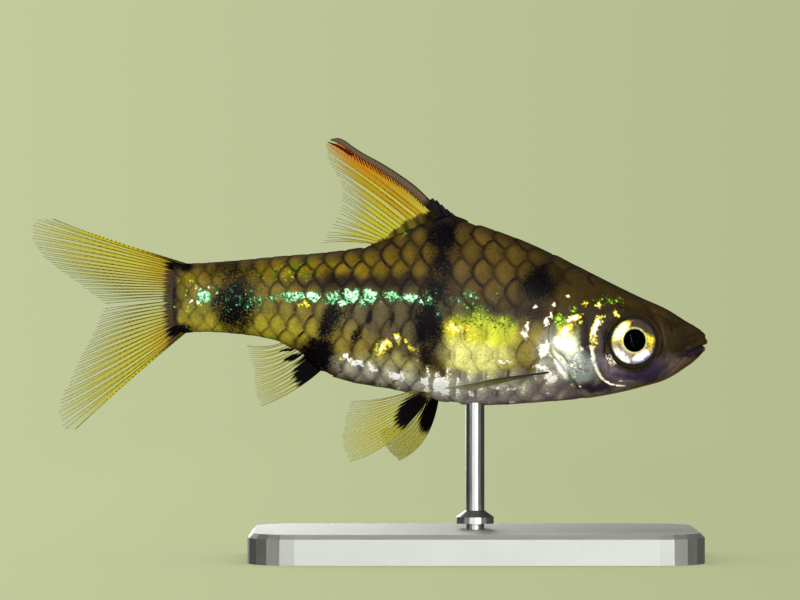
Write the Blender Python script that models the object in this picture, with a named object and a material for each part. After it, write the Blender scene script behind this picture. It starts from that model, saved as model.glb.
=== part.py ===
"""A small deep-bodied barb, Pethia canius, as a still life-size museum model on a plain stand.

Lengths are millimetres while the parts are made, and each finished mesh is turned into metres.
The head points along +X, the fish's left side is +Y, and the origin is under the middle of the base.
"""
import bisect
import math

import bmesh
import bpy
from mathutils import Matrix, Vector

MM = 0.001
GAP = 0.3
WELD = 0.002
REACH_OUT = 9.0
SPACE_BELOW_Z = 7.0
SPACE_ABOVE_Z = 20.0
SPACE_FRONT_X = 16.0
SPACE_REAR_X = -20.0
SEAM_STEP = 0.6
CORNER_STRETCH_LIMIT = 0.5
SMOOTH_ANGLE = 35.0

# Stand
BASE_LENGTH = 24.0
BASE_WIDTH = 13.0
BASE_HEIGHT = 1.6
BASE_CORNER = 2.5
BASE_BEVEL = 0.25
BASE_CORNER_STEPS = 5
ROD_RADIUS = 0.5
ROD_COLLAR_RADIUS = 1.0
ROD_COLLAR_HEIGHT = 0.7
ROD_FOOT_DEPTH = 0.8
ROD_ENTERS_BODY = 0.9
ROD_SIDES = 20

# Side outline of the body, as height over the ground against distance along the fish
TAIL_END_X = -15.7
SNOUT_TIP_X = 12.32
TOP_LINE = (
    (-15.7, 15.80), (-13.5, 15.87), (-10.4, 16.16), (-7.9, 16.37), (-6.1, 16.64), (-5.0, 16.95),
    (-2.9, 17.87), (-1.4, 18.33), (0.3, 17.80), (3.5, 16.59), (6.7, 15.00), (8.8, 13.95),
    (10.4, 13.19), (11.2, 12.68), (11.75, 12.36), (12.1, 12.10), (12.27, 11.89), (12.32, 11.72),
)
BELLY_LINE = (
    (-15.7, 12.02), (-14.7, 12.10), (-12.5, 11.98), (-11.5, 11.85), (-10.4, 11.56), (-9.3, 10.88),
    (-8.2, 9.98), (-7.2, 9.60), (-4.0, 8.96), (-1.6, 8.33), (0.3, 8.21), (3.5, 8.36),
    (6.7, 8.69), (8.8, 9.15), (10.4, 9.68), (11.2, 10.19), (11.75, 10.60), (12.1, 10.98),
    (12.27, 11.30), (12.32, 11.50),
)

# Half of the width, and the height of the widest place as a share of the depth there
HALF_WIDTH = (
    (-15.7, 0.45), (-14.0, 0.65), (-12.0, 0.88), (-10.0, 1.12), (-8.0, 1.38), (-6.0, 1.62),
    (-4.0, 1.86), (-2.0, 2.06), (0.0, 2.18), (2.5, 2.24), (4.5, 2.20), (6.5, 2.02),
    (8.35, 1.78), (9.5, 1.50), (10.5, 1.20), (11.2, 0.96), (11.75, 0.72), (12.1, 0.47),
    (12.27, 0.26), (12.32, 0.14),
)
WIDEST_SHARE = ((-15.7, 0.50), (-8.0, 0.50), (0.0, 0.46), (6.0, 0.47), (9.0, 0.50), (12.32, 0.50))
UPPER_FULLNESS = ((-15.7, 2.1), (-8.0, 1.9), (0.0, 1.75), (5.0, 1.85), (9.0, 2.2), (12.32, 2.0))
LOWER_FULLNESS = ((-15.7, 2.1), (-8.0, 1.9), (0.0, 2.0), (5.0, 1.95), (9.0, 1.95), (12.32, 2.0))
RING_SIDES = 40
TRUNK_RING_STEP = 0.80
HEAD_RING_STEP = 0.45
HEAD_STARTS_X = 3.0
SNOUT_RINGS = (11.45, 11.75, 11.95, 12.10, 12.20, 12.27, 12.32)

# Seams between the parts of the body, seen from the side
TAIL_SEAM_X = -10.45
GILL_SEAM = (
    (5.9, 20.0), (5.45, 16.4), (4.85, 14.6), (4.16, 13.2), (3.79, 11.8), (4.0, 11.0),
    (4.55, 10.3), (5.15, 9.6), (5.6, 8.9), (5.9, 7.0),
)

# Gill covers
GILL_COVER_FRONT = ((6.95, 9.05), (6.5, 9.85), (6.13, 10.9), (6.2, 11.95), (6.5, 12.95), (5.4, 13.6))
GILL_COVER_RISE = 0.12
GILL_COVER_INNER_Y = 1.05

# Eyes, with the middle of each in the side view
EYE_X = 8.35
EYE_Z = 11.6
EYE_RADIUS = 1.27
EYE_DOME_Y = 1.93
EYE_RIM_Y = 1.46
EYE_BACK_Y = 0.80
EYE_BACK_RADIUS = 1.0
EYE_BACK_BEVEL = 0.25
EYE_TIP_RADIUS = 0.08
EYE_DOME_STEPS = 6
EYE_SIDES = 28

# Mouth and nostrils; the line of the mouth runs back from the tip of the snout
MOUTH_LINE = ((11.15, 10.84), (11.45, 11.05), (11.8, 11.22), (12.2, 11.35), (12.9, 11.45))
MOUTH_SLIT = 0.13
MOUTH_STEP = 0.3
NOSTRILS = ((10.78, 12.05, 0.13), (10.44, 12.24, 0.17))
NOSTRIL_DEPTH = 0.3
NOSTRIL_FLOOR_SHARE = 0.6
NOSTRIL_CLEARS = 1.0
NOSTRIL_SIDES = 8
LIP_RADIUS = 0.16
UPPER_LIP_OFFSET = 0.19
LOWER_LIP_OFFSET = -0.19
LIP_CORNER_X = 11.35
LIP_LENGTH = 0.86
LIP_HALF_WIDTH = 0.80
LIP_CORNER_SHARE = 0.45
LIP_STEPS = 12
LIP_SIDES = 8

# Fins: half of a membrane's thickness, the extra height of a ray, and the thinning at the tips
MEMBRANE_HALF = 0.25
RAY_RISE = 0.12
LEADING_RISE = 0.10
LEADING_COLUMNS = 3
NORMAL_STEP = 0.01
MEDIAN_FIN_ROWS = 7
SMALL_FIN_ROWS = 6
TIP_THINNING = 0.5
TIP_STARTS = 0.82
MEMBRANE_NOTCH = 0.035

# Each guide ray has its place in the fin, its root, its middle and its tip, as (x, y, z)
DORSAL_RAYS = 10
DORSAL_GUIDES = (
    (0.00, (-1.05, 0.0, 17.95), (-4.20, 0.05, 20.60), (-7.40, 0.15, 22.48)),
    (0.22, (-2.70, 0.0, 17.55), (-5.75, 0.08, 20.55), (-7.95, 0.20, 22.02)),
    (0.34, (-3.18, 0.0, 17.32), (-5.65, 0.09, 19.90), (-7.78, 0.22, 21.25)),
    (0.48, (-3.68, 0.0, 17.06), (-5.52, 0.10, 19.15), (-7.25, 0.25, 20.30)),
    (0.72, (-4.45, 0.0, 16.70), (-5.95, 0.10, 18.15), (-7.15, 0.25, 18.80)),
    (1.00, (-5.25, 0.0, 16.35), (-6.70, 0.08, 17.05), (-8.12, 0.20, 16.86)),
)
# The short rays that lie before the dorsal fin, as root and tip in the middle plane
SHORT_RAYS = (
    ((-0.95, 17.75), (-1.55, 18.56)),
    ((-1.10, 17.60), (-1.95, 18.98)),
    ((-1.30, 17.50), (-2.42, 19.42)),
)
SHORT_RAY_RADIUS = 0.26
SHORT_RAY_TIP_RADIUS = 0.13
SHORT_RAY_SIDES = 6
ANAL_RAYS = 8
ANAL_GUIDES = (
    (0.00, (-7.90, 0.0, 10.35), (-9.50, -0.05, 9.10), (-11.40, -0.15, 8.14)),
    (0.30, (-8.55, 0.0, 10.80), (-10.20, -0.05, 9.60), (-11.70, -0.20, 8.95)),
    (0.62, (-9.10, 0.0, 11.25), (-10.55, -0.05, 10.35), (-11.80, -0.20, 10.10)),
    (1.00, (-9.75, 0.0, 11.85), (-10.95, -0.05, 11.15), (-12.15, -0.15, 11.18)),
)
CAUDAL_ROOT_X = -15.6
CAUDAL_UPPER_RAYS = 10
CAUDAL_UPPER_GUIDES = (
    (0.00, (CAUDAL_ROOT_X, 0.0, 15.72), (-20.00, -0.25, 17.18), (-23.10, -0.75, 18.20)),
    (0.12, (CAUDAL_ROOT_X, 0.0, 15.50), (-20.00, -0.30, 16.80), (-23.52, -0.85, 17.70)),
    (0.40, (CAUDAL_ROOT_X, 0.0, 15.05), (-20.00, -0.35, 15.70), (-22.95, -0.75, 16.15)),
    (0.72, (CAUDAL_ROOT_X, 0.0, 14.50), (-18.95, -0.25, 14.62), (-21.10, -0.50, 14.68)),
    (1.00, (CAUDAL_ROOT_X, 0.0, 13.98), (-17.90, -0.10, 13.78), (-19.70, -0.25, 13.62)),
)
CAUDAL_LOWER_RAYS = 9
CAUDAL_LOWER_GUIDES = (
    (0.00, (CAUDAL_ROOT_X, 0.0, 13.68), (-17.90, -0.10, 13.44), (-19.68, -0.25, 13.16)),
    (0.28, (CAUDAL_ROOT_X, 0.0, 13.25), (-18.50, -0.20, 12.60), (-20.40, -0.45, 11.90)),
    (0.60, (CAUDAL_ROOT_X, 0.0, 12.75), (-18.95, -0.30, 11.00), (-21.40, -0.70, 9.85)),
    (0.88, (CAUDAL_ROOT_X, 0.0, 12.30), (-18.85, -0.35, 9.70), (-22.10, -0.90, 7.60)),
    (1.00, (CAUDAL_ROOT_X, 0.0, 12.12), (-18.65, -0.30, 9.35), (-21.60, -0.85, 6.82)),
)
PELVIC_RAYS = 8
RIGHT_PELVIC_GUIDES = (
    (0.00, (-2.25, -0.55, 8.85), (-4.45, -1.75, 6.40), (-6.65, -2.55, 5.28)),
    (0.35, (-2.60, -0.80, 8.90), (-4.75, -1.70, 7.15), (-6.98, -2.35, 6.20)),
    (0.70, (-2.90, -1.05, 8.95), (-4.85, -1.60, 7.95), (-6.92, -2.00, 7.40)),
    (1.00, (-3.20, -1.20, 9.05), (-4.85, -1.60, 8.60), (-6.60, -1.75, 8.45)),
)
LEFT_PELVIC_GUIDES = (
    (0.00, (-1.90, 0.55, 8.75), (-2.60, 2.30, 6.45), (-4.05, 3.70, 5.12)),
    (0.35, (-2.20, 0.80, 8.80), (-2.95, 2.25, 6.72), (-4.45, 3.60, 5.50)),
    (0.70, (-2.45, 1.05, 8.85), (-3.30, 2.15, 7.10), (-4.85, 3.30, 6.05)),
    (1.00, (-2.70, 1.20, 8.95), (-3.60, 2.00, 7.55), (-5.15, 2.80, 6.75)),
)
PECTORAL_RAYS = 9
RIGHT_PECTORAL_GUIDES = (
    (0.00, (4.05, -1.60, 10.00), (1.20, -3.45, 9.66), (-1.60, -4.90, 9.22)),
    (0.30, (3.70, -1.55, 9.92), (1.05, -3.00, 9.58), (-1.60, -4.10, 9.16)),
    (0.65, (3.30, -1.50, 9.84), (1.20, -2.55, 9.50), (-0.90, -3.25, 9.10)),
    (1.00, (2.85, -1.45, 9.76), (1.35, -2.15, 9.42), (-0.10, -2.55, 9.06)),
)


def curve_through(points):
    """Return a smooth function through points, each a pair of place and value."""
    xs = [point[0] for point in points]
    ys = [point[1] for point in points]
    steps = [b - a for a, b in zip(xs, xs[1:])]
    rises = [(d - c) / step for c, d, step in zip(ys, ys[1:], steps)]
    slopes = [rises[0]]
    for left, right, step, following in zip(rises, rises[1:], steps, steps[1:]):
        slopes.append((left * following + right * step) / (step + following))
    slopes.append(rises[-1])

    def value(x):
        place = min(max(x, xs[0]), xs[-1])
        i = min(max(bisect.bisect_right(xs, place) - 1, 0), len(steps) - 1)
        t = (place - xs[i]) / steps[i]
        rise = ys[i + 1] - ys[i]
        bend_in = slopes[i] * steps[i]
        bend_out = slopes[i + 1] * steps[i]
        square = 3 * rise - 2 * bend_in - bend_out
        cube = bend_in + bend_out - 2 * rise
        return ys[i] + t * (bend_in + t * (square + t * cube))

    return value


top_at = curve_through(TOP_LINE)
belly_at = curve_through(BELLY_LINE)
half_width_at = curve_through(HALF_WIDTH)
widest_share_at = curve_through(WIDEST_SHARE)
upper_fullness_at = curve_through(UPPER_FULLNESS)
lower_fullness_at = curve_through(LOWER_FULLNESS)


def section(x):
    """Return the widest height, the reach above and below it, and the half width at x."""
    top = top_at(x)
    belly = belly_at(x)
    widest = belly + widest_share_at(x) * (top - belly)
    return widest, top - widest, widest - belly, half_width_at(x)


def skin_point(x, turn, grow=0.0):
    """Return a point of the body's surface, where turn goes round from the back."""
    widest, above, below, half = section(x)
    sine = math.sin(turn)
    cosine = math.cos(turn)
    over = cosine >= 0
    power = 2 / (upper_fullness_at(x) if over else lower_fullness_at(x))
    reach = (above if over else below) + grow
    side = math.copysign(abs(sine) ** power, sine) * (half + grow)
    height = math.copysign(abs(cosine) ** power, cosine) * reach
    return Vector((x, side, widest + height))


def side_width(x, z):
    """Return how far the body's side is from the middle plane at a place in the side view."""
    widest, above, below, half = section(x)
    over = z >= widest
    fullness = upper_fullness_at(x) if over else lower_fullness_at(x)
    share = min(abs(z - widest) / (above if over else below), 1.0)
    return half * (1 - share ** fullness) ** (1 / fullness)


def remove_everything():
    """Start from an empty file."""
    for thing in list(bpy.data.objects):
        bpy.data.objects.remove(thing)


def material(name, colour, roughness, metallic=0.0):
    """Make a Principled material from a colour and its finish."""
    made = bpy.data.materials.new(name)
    made.use_nodes = True
    made.diffuse_color = (*colour, 1.0)
    shader = made.node_tree.nodes["Principled BSDF"]
    shader.inputs["Base Color"].default_value = (*colour, 1.0)
    shader.inputs["Roughness"].default_value = roughness
    shader.inputs["Metallic"].default_value = metallic
    return made


def solid(name, points, faces):
    """Make an object from points and faces, with its faces turned outwards."""
    mesh = bpy.data.meshes.new(name)
    mesh.from_pydata([tuple(point) for point in points], [], faces)
    shape = bmesh.new()
    shape.from_mesh(mesh)
    bmesh.ops.recalc_face_normals(shape, faces=shape.faces)
    shape.to_mesh(mesh)
    shape.free()
    made = bpy.data.objects.new(name, mesh)
    bpy.context.scene.collection.objects.link(made)
    return made


def ring_faces(rings, sides):
    """Return the side quads and the two end caps of a stack of rings."""
    faces = []
    for ring in range(rings - 1):
        for side in range(sides):
            after = (side + 1) % sides
            low = ring * sides
            high = low + sides
            faces.append((low + side, low + after, high + after, high + side))
    faces.append(tuple(range(sides)))
    faces.append(tuple(range((rings - 1) * sides, rings * sides)))
    return faces


def ring_places(grow):
    """Return where the body's rings stand along the fish."""
    places = []
    x = TAIL_END_X - grow
    while x < HEAD_STARTS_X:
        places.append(x)
        x += TRUNK_RING_STEP
    x = HEAD_STARTS_X
    while x < SNOUT_RINGS[0]:
        places.append(x)
        x += HEAD_RING_STEP
    places.extend(SNOUT_RINGS)
    if grow > 0:
        places.append(SNOUT_TIP_X + grow)
    return places


def body(name, grow=0.0):
    """Make the whole body from snout to tail, or the same body grown on every side."""
    places = ring_places(grow)
    points = []
    for x in places:
        for side in range(RING_SIDES):
            points.append(skin_point(x, 2 * math.pi * side / RING_SIDES, grow))
    return solid(name, points, ring_faces(len(places), RING_SIDES))


def prism(name, outline, near, far):
    """Make a block with an outline seen from the side, between two distances from the middle."""
    points = [(x, near, z) for x, z in outline] + [(x, far, z) for x, z in outline]
    return solid(name, points, ring_faces(2, len(outline)))


def turned(name, profile, sides, centre, axis):
    """Make a turned piece from a profile of radius and distance along its axis."""
    points = []
    for radius, along in profile:
        for side in range(sides):
            turn = 2 * math.pi * side / sides
            points.append(Vector((radius * math.cos(turn), radius * math.sin(turn), along)))
    aim = Vector((0, 0, 1)).rotation_difference(Vector(axis)).to_matrix()
    placed = [Vector(centre) + aim @ point for point in points]
    return solid(name, placed, ring_faces(len(profile), sides))


def beside(line, distance):
    """Return a line's points moved sideways, to the right of its direction where positive."""
    moved = []
    for i, (x, z) in enumerate(line):
        before = line[max(i - 1, 0)]
        after = line[min(i + 1, len(line) - 1)]
        normals = []
        for start, end in ((before, (x, z)), ((x, z), after)):
            way = Vector((end[0] - start[0], end[1] - start[1])).normalized()
            if way.length > 0:
                normals.append(Vector((way.y, -way.x)))
        normal = sum(normals, Vector((0, 0))).normalized()
        stretch = distance / max(CORNER_STRETCH_LIMIT, normal.dot(normals[0]))
        moved.append((x + normal.x * stretch, z + normal.y * stretch))
    return moved


def grown(outline, distance):
    """Return a closed outline moved outwards, where its points run anticlockwise round it."""
    return beside([outline[-1], *outline, outline[0]], distance)[1:-1]


def resampled(line, step):
    """Return points at even steps along a smooth curve through a line's points."""
    along = [0.0]
    for a, b in zip(line, line[1:]):
        along.append(along[-1] + math.dist(a, b))
    x_at = curve_through([(s, point[0]) for s, point in zip(along, line)])
    z_at = curve_through([(s, point[1]) for s, point in zip(along, line)])
    count = max(2, round(along[-1] / step))
    return [(x_at(along[-1] * i / count), z_at(along[-1] * i / count)) for i in range(count + 1)]


def keep_largest(made):
    """Drop all but the largest closed surface of an object, and weld its closest points."""
    shape = bmesh.new()
    shape.from_mesh(made.data)
    left = set(shape.faces)
    groups = []
    while left:
        group = set()
        front = [left.pop()]
        while front:
            face = front.pop()
            group.add(face)
            for edge in face.edges:
                for other in edge.link_faces:
                    if other in left:
                        left.remove(other)
                        front.append(other)
        groups.append(group)
    groups.sort(key=lambda group: sum(face.calc_area() for face in group))
    for group in groups[:-1]:
        bmesh.ops.delete(shape, geom=list(group), context="FACES")
    bmesh.ops.remove_doubles(shape, verts=shape.verts, dist=WELD)
    bmesh.ops.dissolve_degenerate(shape, edges=shape.edges, dist=WELD)
    bmesh.ops.delete(shape, geom=[edge for edge in shape.edges if edge.is_wire], context="EDGES")
    shape.to_mesh(made.data)
    shape.free()


def combine(made, others, operation):
    """Apply one Boolean of an object with a collection of others, which are then removed."""
    group = bpy.data.collections.new("operands")
    bpy.context.scene.collection.children.link(group)
    for other in others:
        bpy.context.scene.collection.objects.unlink(other)
        group.objects.link(other)
    change = made.modifiers.new("combine", "BOOLEAN")
    change.operation = operation
    change.operand_type = "COLLECTION"
    change.collection = group
    change.solver = "EXACT"
    bpy.context.view_layer.update()
    evaluated = made.evaluated_get(bpy.context.evaluated_depsgraph_get())
    result = bpy.data.meshes.new_from_object(evaluated)
    made.modifiers.clear()
    made.data = result
    for other in others:
        bpy.data.objects.remove(other)
    bpy.data.collections.remove(group)
    keep_largest(made)
    return made


def fin(name, guides, ray_count, rows):
    """Make a fin whose membrane follows the guide rays, with its rays raised in its surface."""
    shares = [guide[0] for guide in guides]

    def guide_curve(part, axis):
        return curve_through([(share, guide[part][axis]) for share, guide in zip(shares, guides)])

    curves = [[guide_curve(part, axis) for axis in range(3)] for part in (1, 2, 3)]

    def middle(share, along):
        root, bend, tip = (Vector([curve(share) for curve in part]) for part in curves)
        pull = 2 * bend - (root + tip) / 2
        rest = 1 - along
        return rest * rest * root + 2 * rest * along * pull + along * along * tip

    def normal(share, along):
        low, high = max(share - NORMAL_STEP, 0), min(share + NORMAL_STEP, 1)
        start, end = max(along - NORMAL_STEP, 0), min(along + NORMAL_STEP, 1)
        across = middle(high, along) - middle(low, along)
        lengthways = middle(share, end) - middle(share, start)
        return across.cross(lengthways).normalized()

    columns = 2 * ray_count - 1
    faces_of_fin = ([], [])
    for column in range(columns):
        share = column / (columns - 1)
        is_ray = column % 2 == 0
        reach = 1.0 if is_ray else 1.0 - MEMBRANE_NOTCH
        for row in range(rows + 1):
            along = reach * row / rows
            thin = 1 - TIP_THINNING * max(0.0, (along - TIP_STARTS) / (1 - TIP_STARTS))
            rise = RAY_RISE + (LEADING_RISE if column < LEADING_COLUMNS else 0.0)
            half = (MEMBRANE_HALF + (rise if is_ray else 0.0)) * thin
            point = middle(share, along)
            lift = normal(share, along) * half
            faces_of_fin[0].append(point + lift)
            faces_of_fin[1].append(point - lift)

    points = faces_of_fin[0] + faces_of_fin[1]
    other_side = len(faces_of_fin[0])
    length = rows + 1
    faces = []
    for column in range(columns - 1):
        for row in range(rows):
            a = column * length + row
            b = a + 1
            c = a + length
            d = c + 1
            for first, second, third in ((a, b, d), (a, d, c)):
                faces.append((first, second, third))
                faces.append((first + other_side, third + other_side, second + other_side))
    edge = [column * length for column in range(columns)]
    edge += [(columns - 1) * length + row for row in range(1, length)]
    edge += [column * length + rows for column in range(columns - 2, -1, -1)]
    edge += list(range(rows - 1, 0, -1))
    for a, b in zip(edge, edge[1:] + edge[:1]):
        faces.append((a, b, b + other_side))
        faces.append((a, b + other_side, a + other_side))
    return solid(name, points, faces)


def lip(name, offset):
    """Make the bead of a lip round the snout, beside the line of the mouth."""
    seam_z = curve_through(MOUTH_LINE)
    points = []
    for step in range(LIP_STEPS + 1):
        turn = math.pi * (step / LIP_STEPS - 0.5)
        x = LIP_CORNER_X + LIP_LENGTH * math.cos(turn)
        centre = Vector((x, LIP_HALF_WIDTH * math.sin(turn), seam_z(x) + offset))
        out = Vector((LIP_HALF_WIDTH * math.cos(turn), LIP_LENGTH * math.sin(turn), 0)).normalized()
        radius = LIP_RADIUS * (LIP_CORNER_SHARE + (1 - LIP_CORNER_SHARE) * math.cos(turn) ** 0.5)
        centre -= out * (LIP_RADIUS - radius)
        for side in range(LIP_SIDES):
            around = 2 * math.pi * side / LIP_SIDES
            points.append(centre + radius * (math.cos(around) * out + Vector((0, 0, math.sin(around)))))
    return solid(name, points, ring_faces(LIP_STEPS + 1, LIP_SIDES))


def finish(made, finish_material):
    """Give an object its material and shading, and turn its mesh into metres."""
    made.data.materials.clear()
    made.data.materials.append(finish_material)
    made.data.transform(Matrix.Scale(MM, 4))
    made.data.shade_smooth()
    made.data.set_sharp_from_angle(angle=math.radians(SMOOTH_ANGLE))
    return made


def gill_seam(shift):
    """Return the seam behind the gill covers, moved towards the head where shift is positive."""
    return beside(resampled(GILL_SEAM, SEAM_STEP), -shift)


def front_of_gills():
    """Return the side outline of all that lies before the gill seam."""
    return gill_seam(GAP / 2) + [(SPACE_FRONT_X, SPACE_BELOW_Z), (SPACE_FRONT_X, SPACE_ABOVE_Z)]


def behind_gills():
    """Return the side outline of the trunk's space between the gill seam and the tail seam."""
    seam_x = TAIL_SEAM_X + GAP / 2
    return gill_seam(-GAP / 2) + [(seam_x, SPACE_BELOW_Z), (seam_x, SPACE_ABOVE_Z)]


def mouth_outline():
    """Return the side outline of the slit between the lips, which narrows to its corner."""
    line = resampled(MOUTH_LINE, MOUTH_STEP)
    count = len(line)
    above = []
    below = []
    for i, (x, z) in enumerate(line):
        half = MOUTH_SLIT / 2 * (i + 1) / count
        above.append((x, z + half))
        below.append((x, z - half))
    return below + above[::-1]


def gill_cover_outline():
    """Return the side outline of a gill cover, whose rear edge is the gill seam."""
    front = resampled(GILL_COVER_FRONT, SEAM_STEP)
    lowest = front[0][1]
    highest = front[-1][1]
    return front + [point for point in gill_seam(GAP / 2) if lowest < point[1] < highest]


def make_tail(flesh):
    """Make the tail's fleshy stalk."""
    seam_x = TAIL_SEAM_X - GAP / 2
    space = [
        (SPACE_REAR_X, SPACE_BELOW_Z), (seam_x, SPACE_BELOW_Z),
        (seam_x, SPACE_ABOVE_Z), (SPACE_REAR_X, SPACE_ABOVE_Z),
    ]
    made = combine(body("tail"), [prism("space", space, -REACH_OUT, REACH_OUT)], "INTERSECT")
    return finish(made, flesh)


def make_trunk(flesh):
    """Make the trunk, with the socket that takes the stand's rod."""
    made = body("trunk")
    combine(made, [prism("space", behind_gills(), -REACH_OUT, REACH_OUT)], "INTERSECT")
    radius = ROD_RADIUS + GAP
    bore = ((radius, BASE_HEIGHT), (radius, belly_at(0) + ROD_ENTERS_BODY + GAP))
    combine(made, [turned("socket", bore, ROD_SIDES, (0, 0, 0), (0, 0, 1))], "DIFFERENCE")
    return finish(made, flesh)


def make_head(flesh):
    """Make the head with its lips and mouth, eye sockets, nostrils and beds for the gill covers."""
    made = body("head")
    combine(made, [prism("space", front_of_gills(), -REACH_OUT, REACH_OUT)], "INTERSECT")
    lips = [lip("upper_lip", UPPER_LIP_OFFSET), lip("lower_lip", LOWER_LIP_OFFSET)]
    combine(made, lips, "UNION")
    cutters = [prism("mouth", mouth_outline(), -REACH_OUT, REACH_OUT)]
    for way in (-1, 1):
        near = way * (GILL_COVER_INNER_Y - GAP)
        cutters.append(prism("cover_bed", grown(gill_cover_outline(), GAP), near, way * REACH_OUT))
        socket = ((EYE_RADIUS + GAP, EYE_BACK_Y - GAP), (EYE_RADIUS + GAP, REACH_OUT))
        cutters.append(turned("eye_socket", socket, EYE_SIDES, (EYE_X, 0, EYE_Z), (0, way, 0)))
        for x, z, radius in NOSTRILS:
            surface = side_width(x, z)
            bore = (
                (radius * NOSTRIL_FLOOR_SHARE, surface - NOSTRIL_DEPTH),
                (radius, surface),
                (radius, surface + NOSTRIL_CLEARS),
            )
            cutters.append(turned("nostril", bore, NOSTRIL_SIDES, (x, 0, z), (0, way, 0)))
    combine(made, cutters, "DIFFERENCE")
    return finish(made, flesh)


def make_gill_covers(flesh):
    """Make the two gill covers, which stand a little proud of the body."""
    for name, way in (("gill_cover_right", -1), ("gill_cover_left", 1)):
        made = body(name, GILL_COVER_RISE)
        space = prism("space", gill_cover_outline(), way * GILL_COVER_INNER_Y, way * REACH_OUT)
        finish(combine(made, [space], "INTERSECT"), flesh)


def make_eyes(eye_material):
    """Make the two eyes as domed lenses that sit in their sockets."""
    profile = [(EYE_BACK_RADIUS, EYE_BACK_Y), (EYE_RADIUS, EYE_BACK_Y + EYE_BACK_BEVEL)]
    for step in range(EYE_DOME_STEPS):
        turn = math.pi / 2 * step / EYE_DOME_STEPS
        profile.append((EYE_RADIUS * math.cos(turn), EYE_RIM_Y + (EYE_DOME_Y - EYE_RIM_Y) * math.sin(turn)))
    profile.append((EYE_TIP_RADIUS, EYE_DOME_Y))
    for name, way in (("eye_right", -1), ("eye_left", 1)):
        made = turned(name, profile, EYE_SIDES, (EYE_X, 0, EYE_Z), (0, way, 0))
        finish(made, eye_material)


def short_rays():
    """Make the tapered short rays that lie close before the dorsal fin."""
    made = []
    for root, tip in SHORT_RAYS:
        start = Vector((root[0], 0, root[1]))
        end = Vector((tip[0], 0, tip[1]))
        profile = ((SHORT_RAY_RADIUS, 0.0), (SHORT_RAY_TIP_RADIUS, (end - start).length))
        made.append(turned("short_ray", profile, SHORT_RAY_SIDES, start, end - start))
    return made


def make_fins(membrane):
    """Make the eight pieces of fin, each cut clear of the body where it meets it."""
    mirrored = [
        (share, *((x, -y, z) for x, y, z in ray)) for share, *ray in RIGHT_PECTORAL_GUIDES
    ]
    plans = (
        ("dorsal_fin", DORSAL_GUIDES, DORSAL_RAYS, MEDIAN_FIN_ROWS),
        ("anal_fin", ANAL_GUIDES, ANAL_RAYS, SMALL_FIN_ROWS),
        ("caudal_fin_upper", CAUDAL_UPPER_GUIDES, CAUDAL_UPPER_RAYS, MEDIAN_FIN_ROWS),
        ("caudal_fin_lower", CAUDAL_LOWER_GUIDES, CAUDAL_LOWER_RAYS, MEDIAN_FIN_ROWS),
        ("pelvic_fin_right", RIGHT_PELVIC_GUIDES, PELVIC_RAYS, SMALL_FIN_ROWS),
        ("pelvic_fin_left", LEFT_PELVIC_GUIDES, PELVIC_RAYS, SMALL_FIN_ROWS),
        ("pectoral_fin_right", RIGHT_PECTORAL_GUIDES, PECTORAL_RAYS, SMALL_FIN_ROWS),
        ("pectoral_fin_left", mirrored, PECTORAL_RAYS, SMALL_FIN_ROWS),
    )
    for name, guides, ray_count, rows in plans:
        made = fin(name, guides, ray_count, rows)
        if name == "dorsal_fin":
            combine(made, short_rays(), "UNION")
        finish(combine(made, [body("body_space", GAP)], "DIFFERENCE"), membrane)


def make_stand(plate_metal, rod_metal):
    """Make the base with its rounded corners and the rod that holds the fish."""
    outline = []
    for turn, x_way, y_way in ((0, 1, 1), (90, -1, 1), (180, -1, -1), (270, 1, -1)):
        middle_x = x_way * (BASE_LENGTH / 2 - BASE_CORNER)
        middle_y = y_way * (BASE_WIDTH / 2 - BASE_CORNER)
        for step in range(BASE_CORNER_STEPS + 1):
            angle = math.radians(turn + 90 * step / BASE_CORNER_STEPS)
            outline.append((middle_x, middle_y, math.cos(angle), math.sin(angle)))
    points = []
    for height, inset in ((0.0, 0.0), (BASE_HEIGHT - BASE_BEVEL, 0.0), (BASE_HEIGHT, BASE_BEVEL)):
        radius = BASE_CORNER - inset
        for x, y, cosine, sine in outline:
            points.append(Vector((x + radius * cosine, y + radius * sine, height)))
    base = solid("stand_base", points, ring_faces(3, len(outline)))
    radius = ROD_RADIUS + GAP
    bore = ((radius, BASE_HEIGHT - ROD_FOOT_DEPTH - GAP), (radius, 2 * BASE_HEIGHT))
    combine(base, [turned("hole", bore, ROD_SIDES, (0, 0, 0), (0, 0, 1))], "DIFFERENCE")
    finish(base, plate_metal)

    collar_foot = BASE_HEIGHT + GAP
    rod_profile = (
        (ROD_RADIUS, BASE_HEIGHT - ROD_FOOT_DEPTH),
        (ROD_RADIUS, collar_foot),
        (ROD_COLLAR_RADIUS, collar_foot),
        (ROD_COLLAR_RADIUS, collar_foot + ROD_COLLAR_HEIGHT / 2),
        (ROD_RADIUS, collar_foot + ROD_COLLAR_HEIGHT),
        (ROD_RADIUS, belly_at(0) + ROD_ENTERS_BODY),
    )
    finish(turned("stand_rod", rod_profile, ROD_SIDES, (0, 0, 0), (0, 0, 1)), rod_metal)


def main():
    """Build the fish and its stand."""
    remove_everything()
    flesh = material("scaled_skin", (0.22, 0.17, 0.05), 0.35)
    cheek = material("gill_cover_skin", (0.55, 0.50, 0.22), 0.30)
    membrane = material("fin_membrane", (0.48, 0.42, 0.12), 0.40)
    eye_material = material("eye", (0.02, 0.02, 0.02), 0.08)
    plate_metal = material("stand_plate", (0.72, 0.73, 0.70), 0.40, 1.0)
    rod_metal = material("stand_rod_steel", (0.60, 0.61, 0.60), 0.30, 1.0)
    make_head(flesh)
    make_gill_covers(cheek)
    make_trunk(flesh)
    make_tail(flesh)
    make_eyes(eye_material)
    make_fins(membrane)
    make_stand(plate_metal, rod_metal)


main()
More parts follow.
